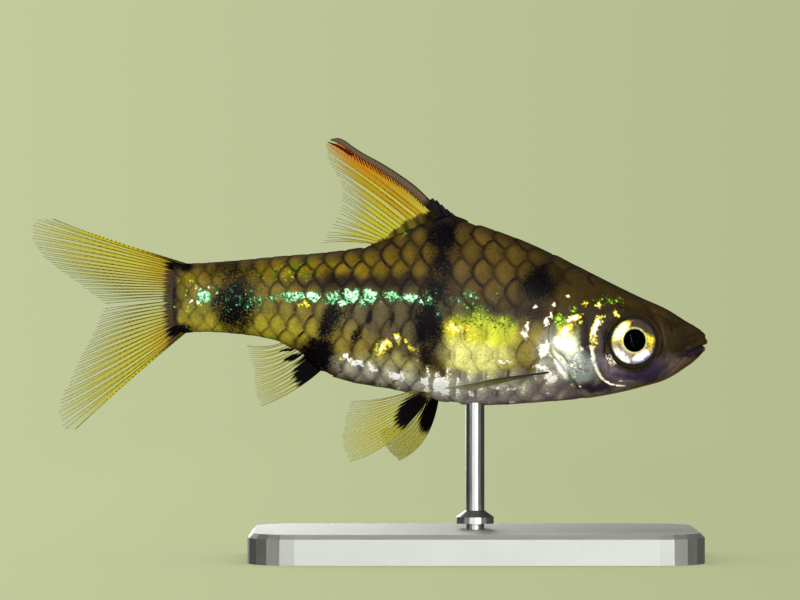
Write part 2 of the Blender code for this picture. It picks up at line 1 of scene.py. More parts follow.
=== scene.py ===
"""The looks of a small barb, Pethia canius, as a life-size model on a plain stand.

Lengths are millimetres in this script, and each finished mesh is turned into metres.
The head points along +X, the camera sees the fish's right side, which is -Y, and the floor is at 0.
"""
import math

import bpy
import numpy as np
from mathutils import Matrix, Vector


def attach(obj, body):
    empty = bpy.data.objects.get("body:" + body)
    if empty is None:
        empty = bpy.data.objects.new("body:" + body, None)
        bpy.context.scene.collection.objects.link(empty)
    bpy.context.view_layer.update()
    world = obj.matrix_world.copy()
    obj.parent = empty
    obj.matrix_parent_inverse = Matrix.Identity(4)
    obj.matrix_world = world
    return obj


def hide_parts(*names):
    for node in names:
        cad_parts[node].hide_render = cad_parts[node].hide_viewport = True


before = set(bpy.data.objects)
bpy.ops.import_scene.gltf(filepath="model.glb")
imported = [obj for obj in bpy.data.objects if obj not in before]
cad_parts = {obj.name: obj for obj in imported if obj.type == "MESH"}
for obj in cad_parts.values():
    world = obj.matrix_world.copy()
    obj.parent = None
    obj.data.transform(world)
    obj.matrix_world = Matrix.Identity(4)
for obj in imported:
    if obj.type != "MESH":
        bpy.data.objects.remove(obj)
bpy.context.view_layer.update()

MM = 0.001
TURN = 2 * math.pi
SIDES = ((-1, "right"), (1, "left"))

# The photo's frame, and the scale at which it shows the fish
PHOTO_WIDTH = 800
PIXELS_PER_MM = 18.75
VIEW_X = -4.0
VIEW_Z = 13.81
LENS = 211.0
SENSOR = 36.0

# Side outline of the body, as height over the floor against distance along the fish
TAIL_END_X = -16.15
SNOUT_TIP_X = 12.32
TOP_LINE = (
    (-16.6, 15.95), (-15.7, 15.80), (-13.5, 15.87), (-10.4, 16.16), (-7.9, 16.37), (-6.1, 16.64),
    (-5.0, 16.95), (-2.9, 17.87), (-1.4, 18.33), (0.3, 17.80), (3.5, 16.59), (6.7, 15.00),
    (8.8, 13.95), (10.4, 13.19), (11.2, 12.68), (11.75, 12.36), (12.1, 12.10), (12.27, 11.89),
    (12.32, 11.72),
)
BELLY_LINE = (
    (-16.6, 11.92), (-15.7, 12.02), (-14.7, 12.10), (-12.5, 11.98), (-11.5, 11.85), (-10.4, 11.56),
    (-9.3, 10.88), (-8.2, 9.98), (-7.2, 9.60), (-4.0, 8.96), (-1.6, 8.33), (0.3, 8.21),
    (3.5, 8.36), (6.7, 8.69), (8.8, 9.15), (10.4, 9.68), (11.2, 10.19), (11.75, 10.60),
    (12.1, 10.98), (12.27, 11.30), (12.32, 11.50),
)
HALF_WIDTH = (
    (-16.15, 0.04), (-15.9, 0.20), (-15.5, 0.40), (-14.0, 0.65), (-12.0, 0.88), (-10.0, 1.12),
    (-8.0, 1.38), (-6.0, 1.62), (-4.0, 1.86), (-2.0, 2.06), (0.0, 2.18), (2.5, 2.24),
    (4.5, 2.20), (6.5, 2.02),
    (8.35, 1.78), (9.5, 1.50), (10.5, 1.20), (11.2, 0.96), (11.75, 0.72), (12.1, 0.47),
    (12.27, 0.26), (12.32, 0.14),
)
WIDEST_SHARE = ((-15.7, 0.50), (-8.0, 0.50), (0.0, 0.46), (6.0, 0.47), (9.0, 0.50), (12.32, 0.50))
UPPER_FULLNESS = ((-15.7, 2.1), (-8.0, 1.9), (0.0, 1.75), (5.0, 1.85), (9.0, 2.2), (12.32, 2.0))
LOWER_FULLNESS = ((-15.7, 2.1), (-8.0, 1.9), (0.0, 2.0), (5.0, 1.95), (9.0, 1.95), (12.32, 2.0))

# Lines and places on the head, seen from the side
GILL_SEAM = (
    (5.9, 20.0), (5.45, 16.4), (4.85, 14.6), (4.16, 13.2), (3.79, 11.8), (4.0, 11.0),
    (4.55, 10.3), (5.15, 9.6), (5.6, 8.9), (5.9, 7.0),
)
CHEEK_LINE = (
    (6.75, 13.3), (6.35, 12.4), (6.11, 11.6), (6.20, 11.0), (6.32, 10.48), (6.49, 10.0),
    (6.76, 9.64), (7.2, 9.37), (7.95, 9.27),
)
SUTURE_LINE = ((4.0, 11.3), (4.5, 10.87), (4.9, 10.56), (5.35, 10.27), (5.95, 10.02))
MOUTH_LINE = ((11.15, 10.84), (11.45, 11.05), (11.8, 11.22), (12.2, 11.35), (12.9, 11.45))
JAW_LINE = ((11.15, 10.84), (10.75, 10.35), (10.3, 9.9), (9.9, 9.55))
EYE_X = 8.35
EYE_Z = 11.6
EYE_Y = 1.60
EYE_LEAN = 0.17
ORBIT_RADIUS = 1.36
IRIS_RADIUS = 1.235
PUPIL_RADIUS = 0.62
PUPIL_BACK = -0.04
PUPIL_UP = 0.06
NOSTRILS = ((10.78, 12.05, 0.10), (10.44, 12.24, 0.13))
LINE_STEP = 0.15

# Scales: where the middle row lies, the first and last ones, and how far apart they stand along
# the body and row from row. A scale's front and rear are for places where they stand SCALE_ROOM
# apart, and its half height is a share of the step between rows
ROW_ZERO_Z = 14.22
ROW_ZERO_X = -4.43
LOWEST_ROW = -7
HIGHEST_ROW = 5
FIRST_SCALE_X = -15.6
LAST_SCALE_X = 7.1
SCALE_DEPTH = 0.10
NAPE_START_X = 4.8
NAPE_LOW = 14.0
NAPE_RISE = 0.28
SCALE_SPACING = ((-16.6, 0.80), (-12.0, 0.88), (-8.0, 1.00), (-3.0, 1.06), (0.0, 1.14), (4.0, 1.28))
ROW_STEPS = (
    (-16.6, 0.62), (-13.0, 0.74), (-10.0, 0.88), (-7.0, 1.02), (-4.0, 1.08), (0.0, 1.12),
    (5.0, 1.02), (7.1, 0.95),
)
SCALE_RINGS = (0.25, 0.45, 0.62, 0.74, 0.82, 0.88, 0.94, 0.985, 1.0)
SCALE_SPOKES = 36
SCALE_ROOM = 1.06
SCALE_REAR = 0.63
SCALE_FRONT = 0.85
SCALE_HALF_HEIGHT = 0.82
REAR_POINT = 1.6
ROOT_LIFT = -0.10
EDGE_LIFT = 0.028
PLATE = 0.022
PATCH = 0.003

# How far the outlines of colour marks sway to and fro, as a share of each wave's length
SWAY = 0.055
SWAY_WAVES = (0.32, 0.45, 0.7, 1.1, 1.9)


def curve_through(points):
    """Return a smooth function through points, each a pair of place and value."""
    xs, ys = np.array(points, dtype=float).T
    steps = np.diff(xs)
    rises = np.diff(ys) / steps
    inner = (rises[:-1] * steps[1:] + rises[1:] * steps[:-1]) / (steps[:-1] + steps[1:])
    slopes = np.concatenate((rises[:1], inner, rises[-1:]))

    def value(x):
        place = np.clip(x, xs[0], xs[-1])
        i = np.clip(np.searchsorted(xs, place, side="right") - 1, 0, len(steps) - 1)
        t = (place - xs[i]) / steps[i]
        rise = ys[i + 1] - ys[i]
        bend_in = slopes[i] * steps[i]
        bend_out = slopes[i + 1] * steps[i]
        square = 3 * rise - 2 * bend_in - bend_out
        cube = bend_in + bend_out - 2 * rise
        return ys[i] + t * (bend_in + t * (square + t * cube))

    return value


top_at = curve_through(TOP_LINE)
belly_at = curve_through(BELLY_LINE)
half_width_at = curve_through(HALF_WIDTH)
widest_share_at = curve_through(WIDEST_SHARE)
upper_fullness_at = curve_through(UPPER_FULLNESS)
lower_fullness_at = curve_through(LOWER_FULLNESS)
spacing_at = curve_through(SCALE_SPACING)
row_step_at = curve_through(ROW_STEPS)


def ease(low, high, value):
    """Return a smooth step from 0 at low to 1 at high; low may be the larger of the two."""
    t = np.clip((value - low) / (high - low), 0, 1)
    return t * t * (3 - 2 * t)


def bump(value, centre, width):
    """Return a smooth bump of height 1."""
    return np.exp(-(((value - centre) / width) ** 2))


def blend(first, second, share):
    """Return a mix of two values, all of the second where the share is 1."""
    return first * (1 - share) + second * share


def laid_over(under, colour, share):
    """Return colours with another one laid over them as far as its share says."""
    return blend(under, colour, share[..., None])


def skin_point(x, turn):
    """Return points of the body's surface, where turn goes round from the back over the left side."""
    top = top_at(x)
    belly = belly_at(x)
    widest = belly + widest_share_at(x) * (top - belly)
    half = half_width_at(x)
    sine = np.sin(turn)
    cosine = np.cos(turn)
    over = cosine >= 0
    power = 2 / np.where(over, upper_fullness_at(x), lower_fullness_at(x))
    reach = np.where(over, top - widest, widest - belly)
    side = np.sign(sine) * np.abs(sine) ** power * half
    height = np.sign(cosine) * np.abs(cosine) ** power * reach
    return np.stack((x + 0 * side, side, widest + height), axis=-1)


def unit(vectors):
    """Return vectors at length 1."""
    return vectors / np.maximum(np.linalg.norm(vectors, axis=-1, keepdims=True), 1e-9)


def length_along(line):
    """Return how far along a line each of its points lies."""
    return np.concatenate(([0], np.cumsum(np.linalg.norm(np.diff(line, axis=0), axis=1))))


def resampled(line, step):
    """Return points at even steps along a smooth curve through a line's points."""
    line = np.array(line, dtype=float)
    along = length_along(line)
    places = np.linspace(0, along[-1], max(2, round(along[-1] / step)) + 1)
    curves = [curve_through(np.stack((along, part), axis=1)) for part in line.T]
    return np.stack([curve(places) for curve in curves], axis=1)


def from_line(line, x, z):
    """Return the distance to a line, positive on the right of its way, and the share along it."""
    points = resampled(line, LINE_STEP)
    nearest = np.full(np.shape(x), np.inf)
    signed = np.zeros(np.shape(x))
    share = np.zeros(np.shape(x))
    count = len(points) - 1
    for i, ((ax, az), (bx, bz)) in enumerate(zip(points[:-1], points[1:])):
        way_x, way_z = bx - ax, bz - az
        long = way_x * way_x + way_z * way_z
        t = np.clip(((x - ax) * way_x + (z - az) * way_z) / long, 0, 1)
        off_x, off_z = x - ax - t * way_x, z - az - t * way_z
        distance = np.hypot(off_x, off_z)
        closer = distance < nearest
        side = np.where(way_z * off_x - way_x * off_z >= 0, 1, -1)
        nearest = np.where(closer, distance, nearest)
        signed = np.where(closer, distance * side, signed)
        share = np.where(closer, (i + t) / count, share)
    return signed, share


# Colours, as seen in the side view
def tint(red, green, blue):
    """Return a linear colour from the 0 to 255 values of a screen colour."""
    value = np.array((red, green, blue)) / 255
    return np.where(value <= 0.04045, value / 12.92, ((value + 0.055) / 1.055) ** 2.4)


BACK_BROWN = tint(77, 61, 22)
RIDGE_BROWN = tint(44, 34, 20)
NAPE_BROWN = tint(48, 37, 14)
REAR_GOLD = tint(114, 96, 12)
REAR_YELLOW = tint(116, 105, 42)
LOW_YELLOW = tint(146, 135, 38)
SMOKY_OLIVE = tint(82, 74, 48)
SMOKY_BROWN = tint(40, 32, 24)
FLANK_TAN = tint(122, 106, 44)
ABDOMEN_GOLD = tint(194, 198, 54)
ABDOMEN_CREAM = tint(208, 203, 116)
ABDOMEN_TAN = tint(128, 114, 50)
BELLY_SILVER = tint(172, 168, 148)
BELLY_LILAC = tint(148, 134, 134)
BELLY_PALE = tint(158, 150, 92)
THROAT_GREY = tint(140, 126, 118)
SNOUT_OLIVE = tint(42, 32, 12)
ORBIT_BROWN = tint(38, 29, 12)
SNOUT_RUST = tint(92, 62, 24)
EYE_STREAK = tint(88, 78, 22)
HEAD_UMBER = tint(42, 34, 22)
CHEEK_SMOKE = tint(78, 70, 66)
CHEEK_SILVER = tint(116, 102, 112)
CHEEK_PURPLE = tint(42, 35, 56)
THROAT_PURPLE = tint(30, 23, 36)
OPERCLE_BLUE = tint(146, 158, 152)
OPERCLE_GREY = tint(170, 168, 146)
JAW_BROWN = tint(98, 82, 64)
# Painted highlight of the gill cover and its pale haze, over its silvery skin
OPERCLE_PAINTED_HIGHLIGHT = tint(232, 234, 200)
OPERCLE_HIGHLIGHT_HAZE = tint(186, 204, 192)
OPERCLE_LIME = tint(206, 206, 104)
SUTURE_DARK = tint(66, 64, 50)
# Painted rim light along the lower edge of the body
ORANGE_RIM_LIGHT = tint(158, 112, 40)
OLIVE_RIM_LIGHT = tint(134, 118, 16)
TAIL_PURPLE = tint(46, 35, 38)
BLACK = tint(8, 5, 8)
SCALE_EDGE = tint(30, 21, 16)
SCALE_GOLD = tint(132, 104, 14)
BELLY_SHADE = tint(74, 62, 84)

# Washes of colour, laid one over the other: colour, centre x and z, half length, half height,
# lean in degrees, softness of the edge, strength
WASHES = (
    (REAR_GOLD, -11.5, 15.2, 7.0, 1.3, 0, 0.6, 0.85),
    (SMOKY_OLIVE, -4.4, 12.6, 4.8, 1.8, -6, 0.5, 0.95),
    (REAR_YELLOW, -12.6, 13.1, 4.8, 1.5, 0, 0.5, 0.9),
    (LOW_YELLOW, -11.6, 12.3, 4.6, 0.7, -6, 0.6, 0.9),
    (FLANK_TAN, -6.6, 11.3, 1.9, 0.9, -25, 0.6, 0.9),
    (SMOKY_BROWN, -5.8, 14.80, 4.6, 0.42, 0, 0.6, 0.9),
    (BELLY_PALE, -4.4, 10.35, 2.0, 0.48, -15, 0.5, 0.9),
    (TAIL_PURPLE, -16.15, 13.9, 0.42, 2.6, 0, 0.4, 1.0),
    (SMOKY_BROWN, 1.6, 13.2, 2.2, 0.8, 0, 0.8, 0.7),
    (ABDOMEN_TAN, 2.2, 11.3, 1.4, 1.4, 0, 0.6, 0.95),
    (ABDOMEN_CREAM, 0.0, 10.9, 1.65, 1.1, -6, 0.5, 0.95),
    (ABDOMEN_GOLD, 0.15, 12.15, 1.75, 0.75, -6, 0.5, 0.95),
    (BELLY_SILVER, -4.6, 9.75, 3.0, 0.55, -13, 0.5, 0.85),
    (BELLY_SILVER, 0.4, 9.1, 3.6, 0.75, 2, 0.5, 0.9),
    (BELLY_LILAC, 0.8, 8.45, 4.6, 0.35, 0, 0.8, 0.8),
    (NAPE_BROWN, 7.2, 14.2, 4.6, 1.5, -27, 0.6, 0.9),
    (HEAD_UMBER, 6.0, 11.9, 1.9, 2.0, 0, 0.4, 0.95),
    (SNOUT_OLIVE, 10.9, 12.0, 2.4, 1.8, -10, 0.5, 0.95),
    (SNOUT_RUST, 9.7, 13.3, 0.8, 0.22, -28, 0.8, 0.6),
    (EYE_STREAK, 9.85, 12.1, 0.7, 0.10, -72, 0.8, 0.7),
    (OPERCLE_GREY, 4.3, 10.6, 0.9, 1.5, 8, 0.5, 0.95),
    (OPERCLE_BLUE, 5.55, 10.3, 0.8, 0.95, 0, 0.5, 0.95),
    (HEAD_UMBER, 5.75, 11.9, 0.5, 0.65, 0, 0.5, 0.95),
    (OPERCLE_LIME, 4.75, 12.15, 0.42, 0.45, 0, 0.7, 0.9),
    # Painted highlights on the gill cover's silvery skin: a pale haze and two bright patches
    (OPERCLE_HIGHLIGHT_HAZE, 5.08, 10.85, 0.54, 0.48, 0, 0.7, 0.85),
    (OPERCLE_PAINTED_HIGHLIGHT, 4.74, 11.42, 0.64, 0.58, 0, 0.6, 1.0),
    (OPERCLE_PAINTED_HIGHLIGHT, 4.30, 10.35, 0.62, 0.62, 0, 0.8, 0.8),
    (HEAD_UMBER, 5.72, 11.6, 0.30, 0.95, 6, 0.7, 0.9),
    (CHEEK_SMOKE, 6.75, 11.3, 0.55, 0.9, 0, 0.6, 0.7),
    (CHEEK_SILVER, 7.3, 10.25, 0.9, 0.55, -30, 0.6, 0.9),
    (CHEEK_SMOKE, 9.3, 10.45, 1.6, 0.35, 16, 0.7, 0.8),
    (CHEEK_PURPLE, 8.9, 9.85, 1.7, 0.42, 14, 0.5, 0.95),
    (THROAT_GREY, 5.0, 9.0, 2.8, 0.45, 4, 0.6, 0.85),
    (THROAT_PURPLE, 6.5, 9.25, 1.0, 0.32, 2, 0.5, 0.95),
    (JAW_BROWN, 10.8, 10.3, 0.9, 0.35, 36, 0.7, 0.7),
    (THROAT_PURPLE, 11.5, 11.05, 0.65, 0.14, 22, 0.7, 0.9),
)

# Marks of the same form, without a colour: centre x and z, half sizes, lean, softness, strength
DARK_MARKS = (
    (3.35, 14.60, 1.05, 1.05, 0, 0.8, 1.0),
    (2.85, 13.2, 0.8, 0.6, 0, 0.9, 0.60),
    (2.7, 12.4, 0.5, 0.5, 0, 0.9, 0.45),
    (-1.70, 17.5, 0.90, 1.6, 3, 0.8, 1.0),
    (-1.85, 15.8, 0.60, 1.3, 3, 0.9, 0.78),
    (-2.05, 14.2, 0.90, 0.8, 3, 0.8, 0.85),
    (-2.45, 12.7, 0.90, 1.40, 3, 0.8, 0.98),
    (-2.6, 10.9, 0.42, 0.9, 10, 0.9, 0.80),
    (-8.40, 10.85, 0.90, 1.15, -20, 0.7, 1.0),
    (-7.70, 12.7, 1.20, 0.62, 58, 0.9, 0.92),
    (-7.2, 14.7, 0.8, 0.6, 0, 0.9, 0.55),
    (-4.2, 14.75, 1.6, 0.35, 0, 0.9, 0.35),
    (-5.60, 12.9, 0.50, 0.22, 80, 0.8, 0.90),
    (-6.40, 11.95, 0.60, 0.20, 62, 0.8, 0.85),
    (-4.55, 12.8, 0.45, 0.17, 75, 0.8, 0.75),
    (-5.05, 11.3, 0.45, 0.12, 66, 0.8, 0.70),
    (-3.95, 11.6, 0.40, 0.12, 66, 0.8, 0.60),
    (-12.72, 13.65, 1.2, 1.6, 0, 0.9, 1.0),
    (-12.9, 15.3, 1.5, 0.75, 0, 0.9, 0.68),
    (-15.6, 15.75, 0.65, 0.35, 0, 0.8, 1.0),
    (-15.6, 12.1, 0.65, 0.35, 0, 0.8, 1.0),
    (0.2, 12.6, 1.8, 0.7, 0, 0.9, 0.30),
    (11.05, 11.3, 0.7, 0.5, 30, 0.9, 0.50),
    (5.75, 12.0, 0.22, 0.9, 0, 0.8, 0.6),
    (6.95, 11.0, 0.10, 1.2, 8, 0.9, 0.6),
    (7.05, 11.75, 0.30, 0.38, 10, 0.8, 0.75),
    (9.35, 12.95, 0.60, 0.22, -30, 1.0, 0.45),
    (10.6, 12.45, 0.55, 0.20, -28, 1.0, 0.45),
    (10.0, 11.5, 0.30, 0.50, 10, 1.0, 0.40),
    (9.7, 10.75, 0.50, 0.22, 15, 1.0, 0.45),
    (11.3, 11.75, 0.50, 0.16, 30, 0.9, 0.50),
    (7.9, 13.35, 0.70, 0.14, -8, 1.0, 0.50),
    (5.3, 9.55, 0.50, 0.30, -20, 1.0, 0.55),
    (4.3, 9.05, 0.60, 0.12, 5, 1.0, 0.35),
)
GOLD_MARKS = (
    (-4.88, 11.31, 0.42, 0.26, 30, 0.6, 1.0),
    (-4.19, 11.84, 0.30, 0.09, 85, 0.6, 0.95),
    (-3.81, 11.6, 0.13, 0.18, 0, 0.7, 0.9),
    (-3.28, 11.26, 0.20, 0.23, 0, 0.7, 0.9),
    (-7.2, 10.5, 0.12, 0.10, 0, 0.6, 0.8),
    (-9.2, 13.46, 0.22, 0.12, 0, 0.7, 0.7),
    (-0.9, 12.3, 0.6, 0.35, -30, 0.9, 0.75),
    (-0.6, 12.0, 1.0, 0.5, -4, 0.9, 0.35),
    (5.25, 12.85, 0.36, 0.17, 15, 0.8, 0.95),
    (4.80, 12.3, 0.34, 0.24, 30, 0.7, 1.0),
    (5.45, 12.52, 0.14, 0.09, 0, 0.6, 0.9),
    (6.45, 12.35, 0.72, 0.24, 68, 0.6, 1.0),
    (6.45, 13.55, 0.12, 0.1, 0, 0.6, 0.8),
    (7.35, 13.1, 0.16, 0.08, -50, 0.6, 0.9),
    (5.9, 13.75, 0.22, 0.12, 0, 0.8, 0.7),
)
# Glints: painted highlights on the skin, mostly on the silvery gill cover and belly
GLINT_MARKS = (
    (4.78, 11.38, 0.48, 0.42, 0, 0.5, 1.0),
    (4.80, 12.15, 0.20, 0.30, 0, 0.6, 0.9),
    (5.05, 12.75, 0.28, 0.12, 15, 0.6, 0.75),
    (4.19, 11.63, 0.20, 0.30, 10, 0.4, 1.0),
    (3.60, 11.20, 0.36, 0.20, 62, 0.4, 1.0),
    (3.52, 10.32, 0.34, 0.15, -20, 0.5, 1.0),
    (4.48, 10.32, 0.58, 0.26, -50, 0.4, 1.0),
    (4.75, 9.87, 0.18, 0.24, 0, 0.5, 1.0),
    (4.00, 9.70, 0.22, 0.40, 15, 0.8, 0.85),
    (4.83, 14.10, 0.08, 0.09, 0, 0.4, 0.9),
    (4.25, 13.55, 0.08, 0.08, 0, 0.4, 0.9),
    (3.13, 13.44, 0.08, 0.08, 0, 0.4, 0.9),
    (4.05, 13.03, 0.10, 0.18, 15, 0.4, 1.0),
    (3.72, 12.80, 0.14, 0.27, 15, 0.4, 1.0),
    (2.85, 12.35, 0.06, 0.36, -15, 0.5, 0.85),
    (2.7, 11.9, 0.07, 0.30, 10, 0.7, 0.7),
    (5.30, 10.6, 0.42, 0.60, 0, 1.0, 0.32),
    (6.47, 12.32, 0.60, 0.19, 66, 0.6, 1.0),
    (-14.93, 14.35, 0.06, 0.06, 0, 0.6, 1.0),
    (-14.60, 14.24, 0.08, 0.08, 0, 0.6, 1.0),
    (-14.03, 14.40, 0.09, 0.06, 45, 0.6, 1.0),
    (-15.15, 13.80, 0.07, 0.07, 0, 0.6, 1.0),
    (-14.80, 13.72, 0.07, 0.07, 0, 0.6, 1.0),
    (7.2, 10.70, 0.40, 0.24, -35, 1.0, 0.36),
    (5.73, 9.23, 0.05, 0.05, 0, 0.6, 1.0),
    (5.0, 9.35, 0.06, 0.04, 0, 0.6, 0.9),
    (8.1, 9.45, 0.35, 0.03, 5, 0.8, 0.5),
    (-6.83, 10.72, 0.16, 0.14, 30, 0.5, 1.0),
    (-6.40, 10.55, 0.36, 0.09, -24, 0.4, 1.0),
    (-6.20, 10.27, 0.26, 0.08, 5, 0.5, 0.9),
    (-5.55, 10.22, 0.42, 0.16, -38, 0.4, 1.0),
    (-4.20, 9.82, 0.38, 0.22, -50, 0.4, 1.0),
    (-2.58, 9.38, 0.55, 0.18, -58, 0.3, 1.0),
    (-1.80, 9.28, 0.60, 0.25, -66, 0.3, 1.0),
    (-0.91, 9.33, 0.36, 0.08, 88, 0.4, 1.0),
    (0.33, 9.20, 0.22, 0.10, 80, 0.6, 0.8),
    (1.20, 9.10, 0.14, 0.12, 0, 0.5, 0.9),
    (1.85, 9.25, 0.35, 0.10, 0, 0.9, 0.55),
    (-0.16, 8.77, 0.22, 0.06, -10, 0.5, 0.8),
    (-6.6, 9.35, 0.3, 0.06, -10, 0.7, 0.6),
    (1.55, 10.45, 0.22, 0.05, 10, 0.5, 0.7),
)
MINT_MARKS = (
    (-6.6, 13.97, 4.5, 0.35, 0, 0.35, 0.9),
    (-12.6, 13.90, 1.5, 0.75, 0, 0.7, 0.19),
    (-14.4, 13.97, 0.40, 0.30, 0, 0.6, 0.95),
    (-0.6, 13.95, 0.8, 0.40, 0, 0.8, 0.45),
    (-2.1, 13.80, 0.8, 0.60, 0, 0.9, 0.13),
    (1.3, 14.1, 0.3, 0.4, 0, 0.8, 0.30),
)
GREEN_MARKS = (
    (0.1, 13.0, 1.1, 0.60, -10, 0.7, 0.48),
    (-0.9, 12.5, 0.7, 0.5, 0, 0.7, 0.6),
    (1.6, 12.55, 0.7, 0.35, 0, 0.7, 0.5),
    (-10.0, 15.3, 1.6, 0.5, 0, 0.9, 0.40),
    (-15.0, 14.0, 0.9, 1.0, 0, 0.9, 0.35),
    (5.12, 13.30, 0.2, 0.2, 0, 0.7, 0.85),
    (4.53, 12.65, 0.22, 0.3, 0, 0.8, 0.8),
    (7.0, 13.75, 0.60, 0.18, -14, 0.9, 0.42),
    (7.75, 13.6, 0.5, 0.18, -20, 0.9, 0.30),
    (-3.8, 17.2, 0.2, 0.12, 0, 0.6, 0.8),
)

SILVER_CHEEK = (5.6, 10.4, 1.7, 1.5, 0, 0.4, 0.9)


def blob(mark, x, z):
    """Return how much a mark covers places in the side view."""
    centre_x, centre_z, long, high, lean, soft, strength = mark
    cosine, sine = math.cos(math.radians(lean)), math.sin(math.radians(lean))
    along = ((x - centre_x) * cosine + (z - centre_z) * sine) / long
    across = ((z - centre_z) * cosine - (x - centre_x) * sine) / high
    return strength * (1 - ease(1 - soft, 1 + soft, np.hypot(along, across)))


def covered(marks, x, z):
    """Return how much the strongest of several marks covers places in the side view."""
    return np.max([blob(mark, x, z) for mark in marks], axis=0)


def swayed(x, z):
    """Return places in the side view moved a little to and fro, for uneven outlines of marks."""
    random = np.random.default_rng(5)
    moved = [np.array(x, dtype=float), np.array(z, dtype=float)]
    for axis in range(2):
        for wave in SWAY_WAVES:
            angle, start = random.uniform(0, TURN, 2)
            phase = (x * math.cos(angle) + z * math.sin(angle)) * TURN / wave + start
            moved[axis] = moved[axis] + SWAY * wave * np.sin(phase)
    return moved


def paint(side_x, side_z):
    """Return the skin's colour and its marks at places in the side view."""
    x, z = swayed(side_x, side_z)
    colour = np.broadcast_to(BACK_BROWN, (*np.shape(x), 3)).copy()
    for wash, *mark in WASHES:
        colour = laid_over(colour, wash, blob(mark, x, z))
    below_back = top_at(side_x) - side_z
    over_belly = side_z - belly_at(side_x)
    suture, suture_share = from_line(SUTURE_LINE, x, z)
    for wash, share in (
        (RIDGE_BROWN, ease(0.8, 0.1, below_back) * 0.75),
        # Painted rim light along the belly's edge, orange towards the head and olive towards the tail
        (ORANGE_RIM_LIGHT, ease(0.13, 0.02, over_belly) * ease(1.0, 4.0, x) * 0.8),
        (OLIVE_RIM_LIGHT, ease(0.12, 0.02, over_belly) * ease(1.0, -3.0, x) * 0.7),
        (ORBIT_BROWN, bump(np.hypot(x - EYE_X - 0.05, z - EYE_Z - 0.03), 1.48, 0.22) * 0.85),
        (SUTURE_DARK, bump(suture, 0, 0.085) * bump(suture_share, 0.5, 0.42) * 0.9),
    ):
        colour = laid_over(colour, wash, share)
    dark, glint, gold, green = (
        covered(group, x, z) for group in (DARK_MARKS, GLINT_MARKS, GOLD_MARKS, GREEN_MARKS)
    )
    # The painted highlight along the cheek's rear edge narrows along its line
    cheek, share = from_line(CHEEK_LINE, side_x, side_z)
    shine = 1 - ease(0.6, 1.3, np.abs(cheek - 0.02) / (0.15 - 0.11 * share))
    shine = shine * ease(0.36, 0.42, share) * (0.80 + 0.20 * np.sin(share * 55))
    glint = np.maximum(glint, shine)
    gold = np.maximum(gold, shine)
    return colour, np.stack((dark, glint, gold, green), axis=-1), covered(MINT_MARKS, x, z)


def silver(x, z):
    """Return how mirror-like the skin is at places in the side view."""
    belly = ease(3.0, 0.8, z - belly_at(x)) * ease(-9, -5, x) * ease(6.5, 5.0, x)
    return np.maximum(belly * 0.8, blob(SILVER_CHEEK, x, z))


# Meshes
UNWRAP_START_X = -17
UNWRAP_LENGTH = 30


def piece(name, finish, points, quads=None, triangles=None, attributes=None, loop_uv=None):
    """Make a smooth object of one finish from arrays, with point attributes and an OFBake map."""
    quads = np.zeros((0, 4), dtype=int) if quads is None else quads
    triangles = np.zeros((0, 3), dtype=int) if triangles is None else triangles
    mesh = bpy.data.meshes.new(name)
    points = np.asarray(points).reshape(-1, 3) * MM
    mesh.vertices.add(len(points))
    mesh.vertices.foreach_set("co", points.ravel())
    loops = np.concatenate((quads.ravel(), triangles.ravel()))
    mesh.loops.add(len(loops))
    mesh.loops.foreach_set("vertex_index", loops)
    mesh.polygons.add(len(quads) + len(triangles))
    starts = np.concatenate((
        4 * np.arange(len(quads)),
        4 * len(quads) + 3 * np.arange(len(triangles)),
    ))
    mesh.polygons.foreach_set("loop_start", starts)
    mesh.update(calc_edges=True)
    for key, values in (attributes or {}).items():
        values = np.asarray(values, dtype=float)
        if values.ndim == 1:
            mesh.attributes.new(key, "FLOAT", "POINT").data.foreach_set("value", values)
            continue
        if values.shape[1] == 3:
            values = np.concatenate((values, np.ones((len(values), 1))), axis=1)
        mesh.attributes.new(key, "FLOAT_COLOR", "POINT").data.foreach_set("color", values.ravel())
    if loop_uv is not None:
        mesh.uv_layers.new(name="OFBake").data.foreach_set("uv", np.asarray(loop_uv).ravel())
    mesh.shade_smooth()
    mesh.materials.append(finish)
    made = bpy.data.objects.new(name, mesh)
    bpy.context.scene.collection.objects.link(made)
    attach(made, "root")
    return made


def grid_faces(rows, columns, wrap=False):
    """Return the quads of a grid of points, which may close on itself across its columns."""
    row = np.arange(rows - 1)[:, None]
    column = np.arange(columns if wrap else columns - 1)[None, :]
    after = (column + 1) % columns
    corners = (row * columns + column, row * columns + after, (row + 1) * columns + after,
               (row + 1) * columns + column)
    return np.stack(corners, axis=-1).reshape(-1, 4)


def cap_faces(sides, middle, first, flipped=False):
    """Return the triangles from a middle point to the ring of points that starts at the first."""
    side = first + np.arange(sides)
    after = np.roll(side, -1)
    pair = (after, side) if flipped else (side, after)
    return np.stack((np.full(sides, middle), *pair), axis=1)


def repeated(faces, count, size):
    """Return the faces of one part for as many copies, each with so many points."""
    return (faces[None] + (np.arange(count) * size)[:, None, None]).reshape(-1, faces.shape[1])


def unwrap(x, turn):
    """Return a place on the body's unwrap from the place along it and the turn round it."""
    along = (x - UNWRAP_START_X) / UNWRAP_LENGTH
    return np.stack((0.02 + 0.96 * along, 0.01 + 0.98 * (turn % TURN) / TURN), axis=-1)


# Skin
SKIN_SIDES = 256
BODY_STEP = 0.14
HEAD_START_X = 3.2
HEAD_STEP = 0.05
SNOUT_LENGTH = 1.2
SNOUT_RINGS = 40


SIDE_CROWDING = 0.2
SNOUT_CAP = 0.012
BARE_TAIL_X = -15.9
GILL_RISE = 0.12
MOUTH_GROOVE = 0.10
MOUTH_DEEPER = 0.14
ORBIT_DEPTH = 0.75
NOSTRIL_RIM = 0.03
NOSTRIL_DEPTH = 0.12

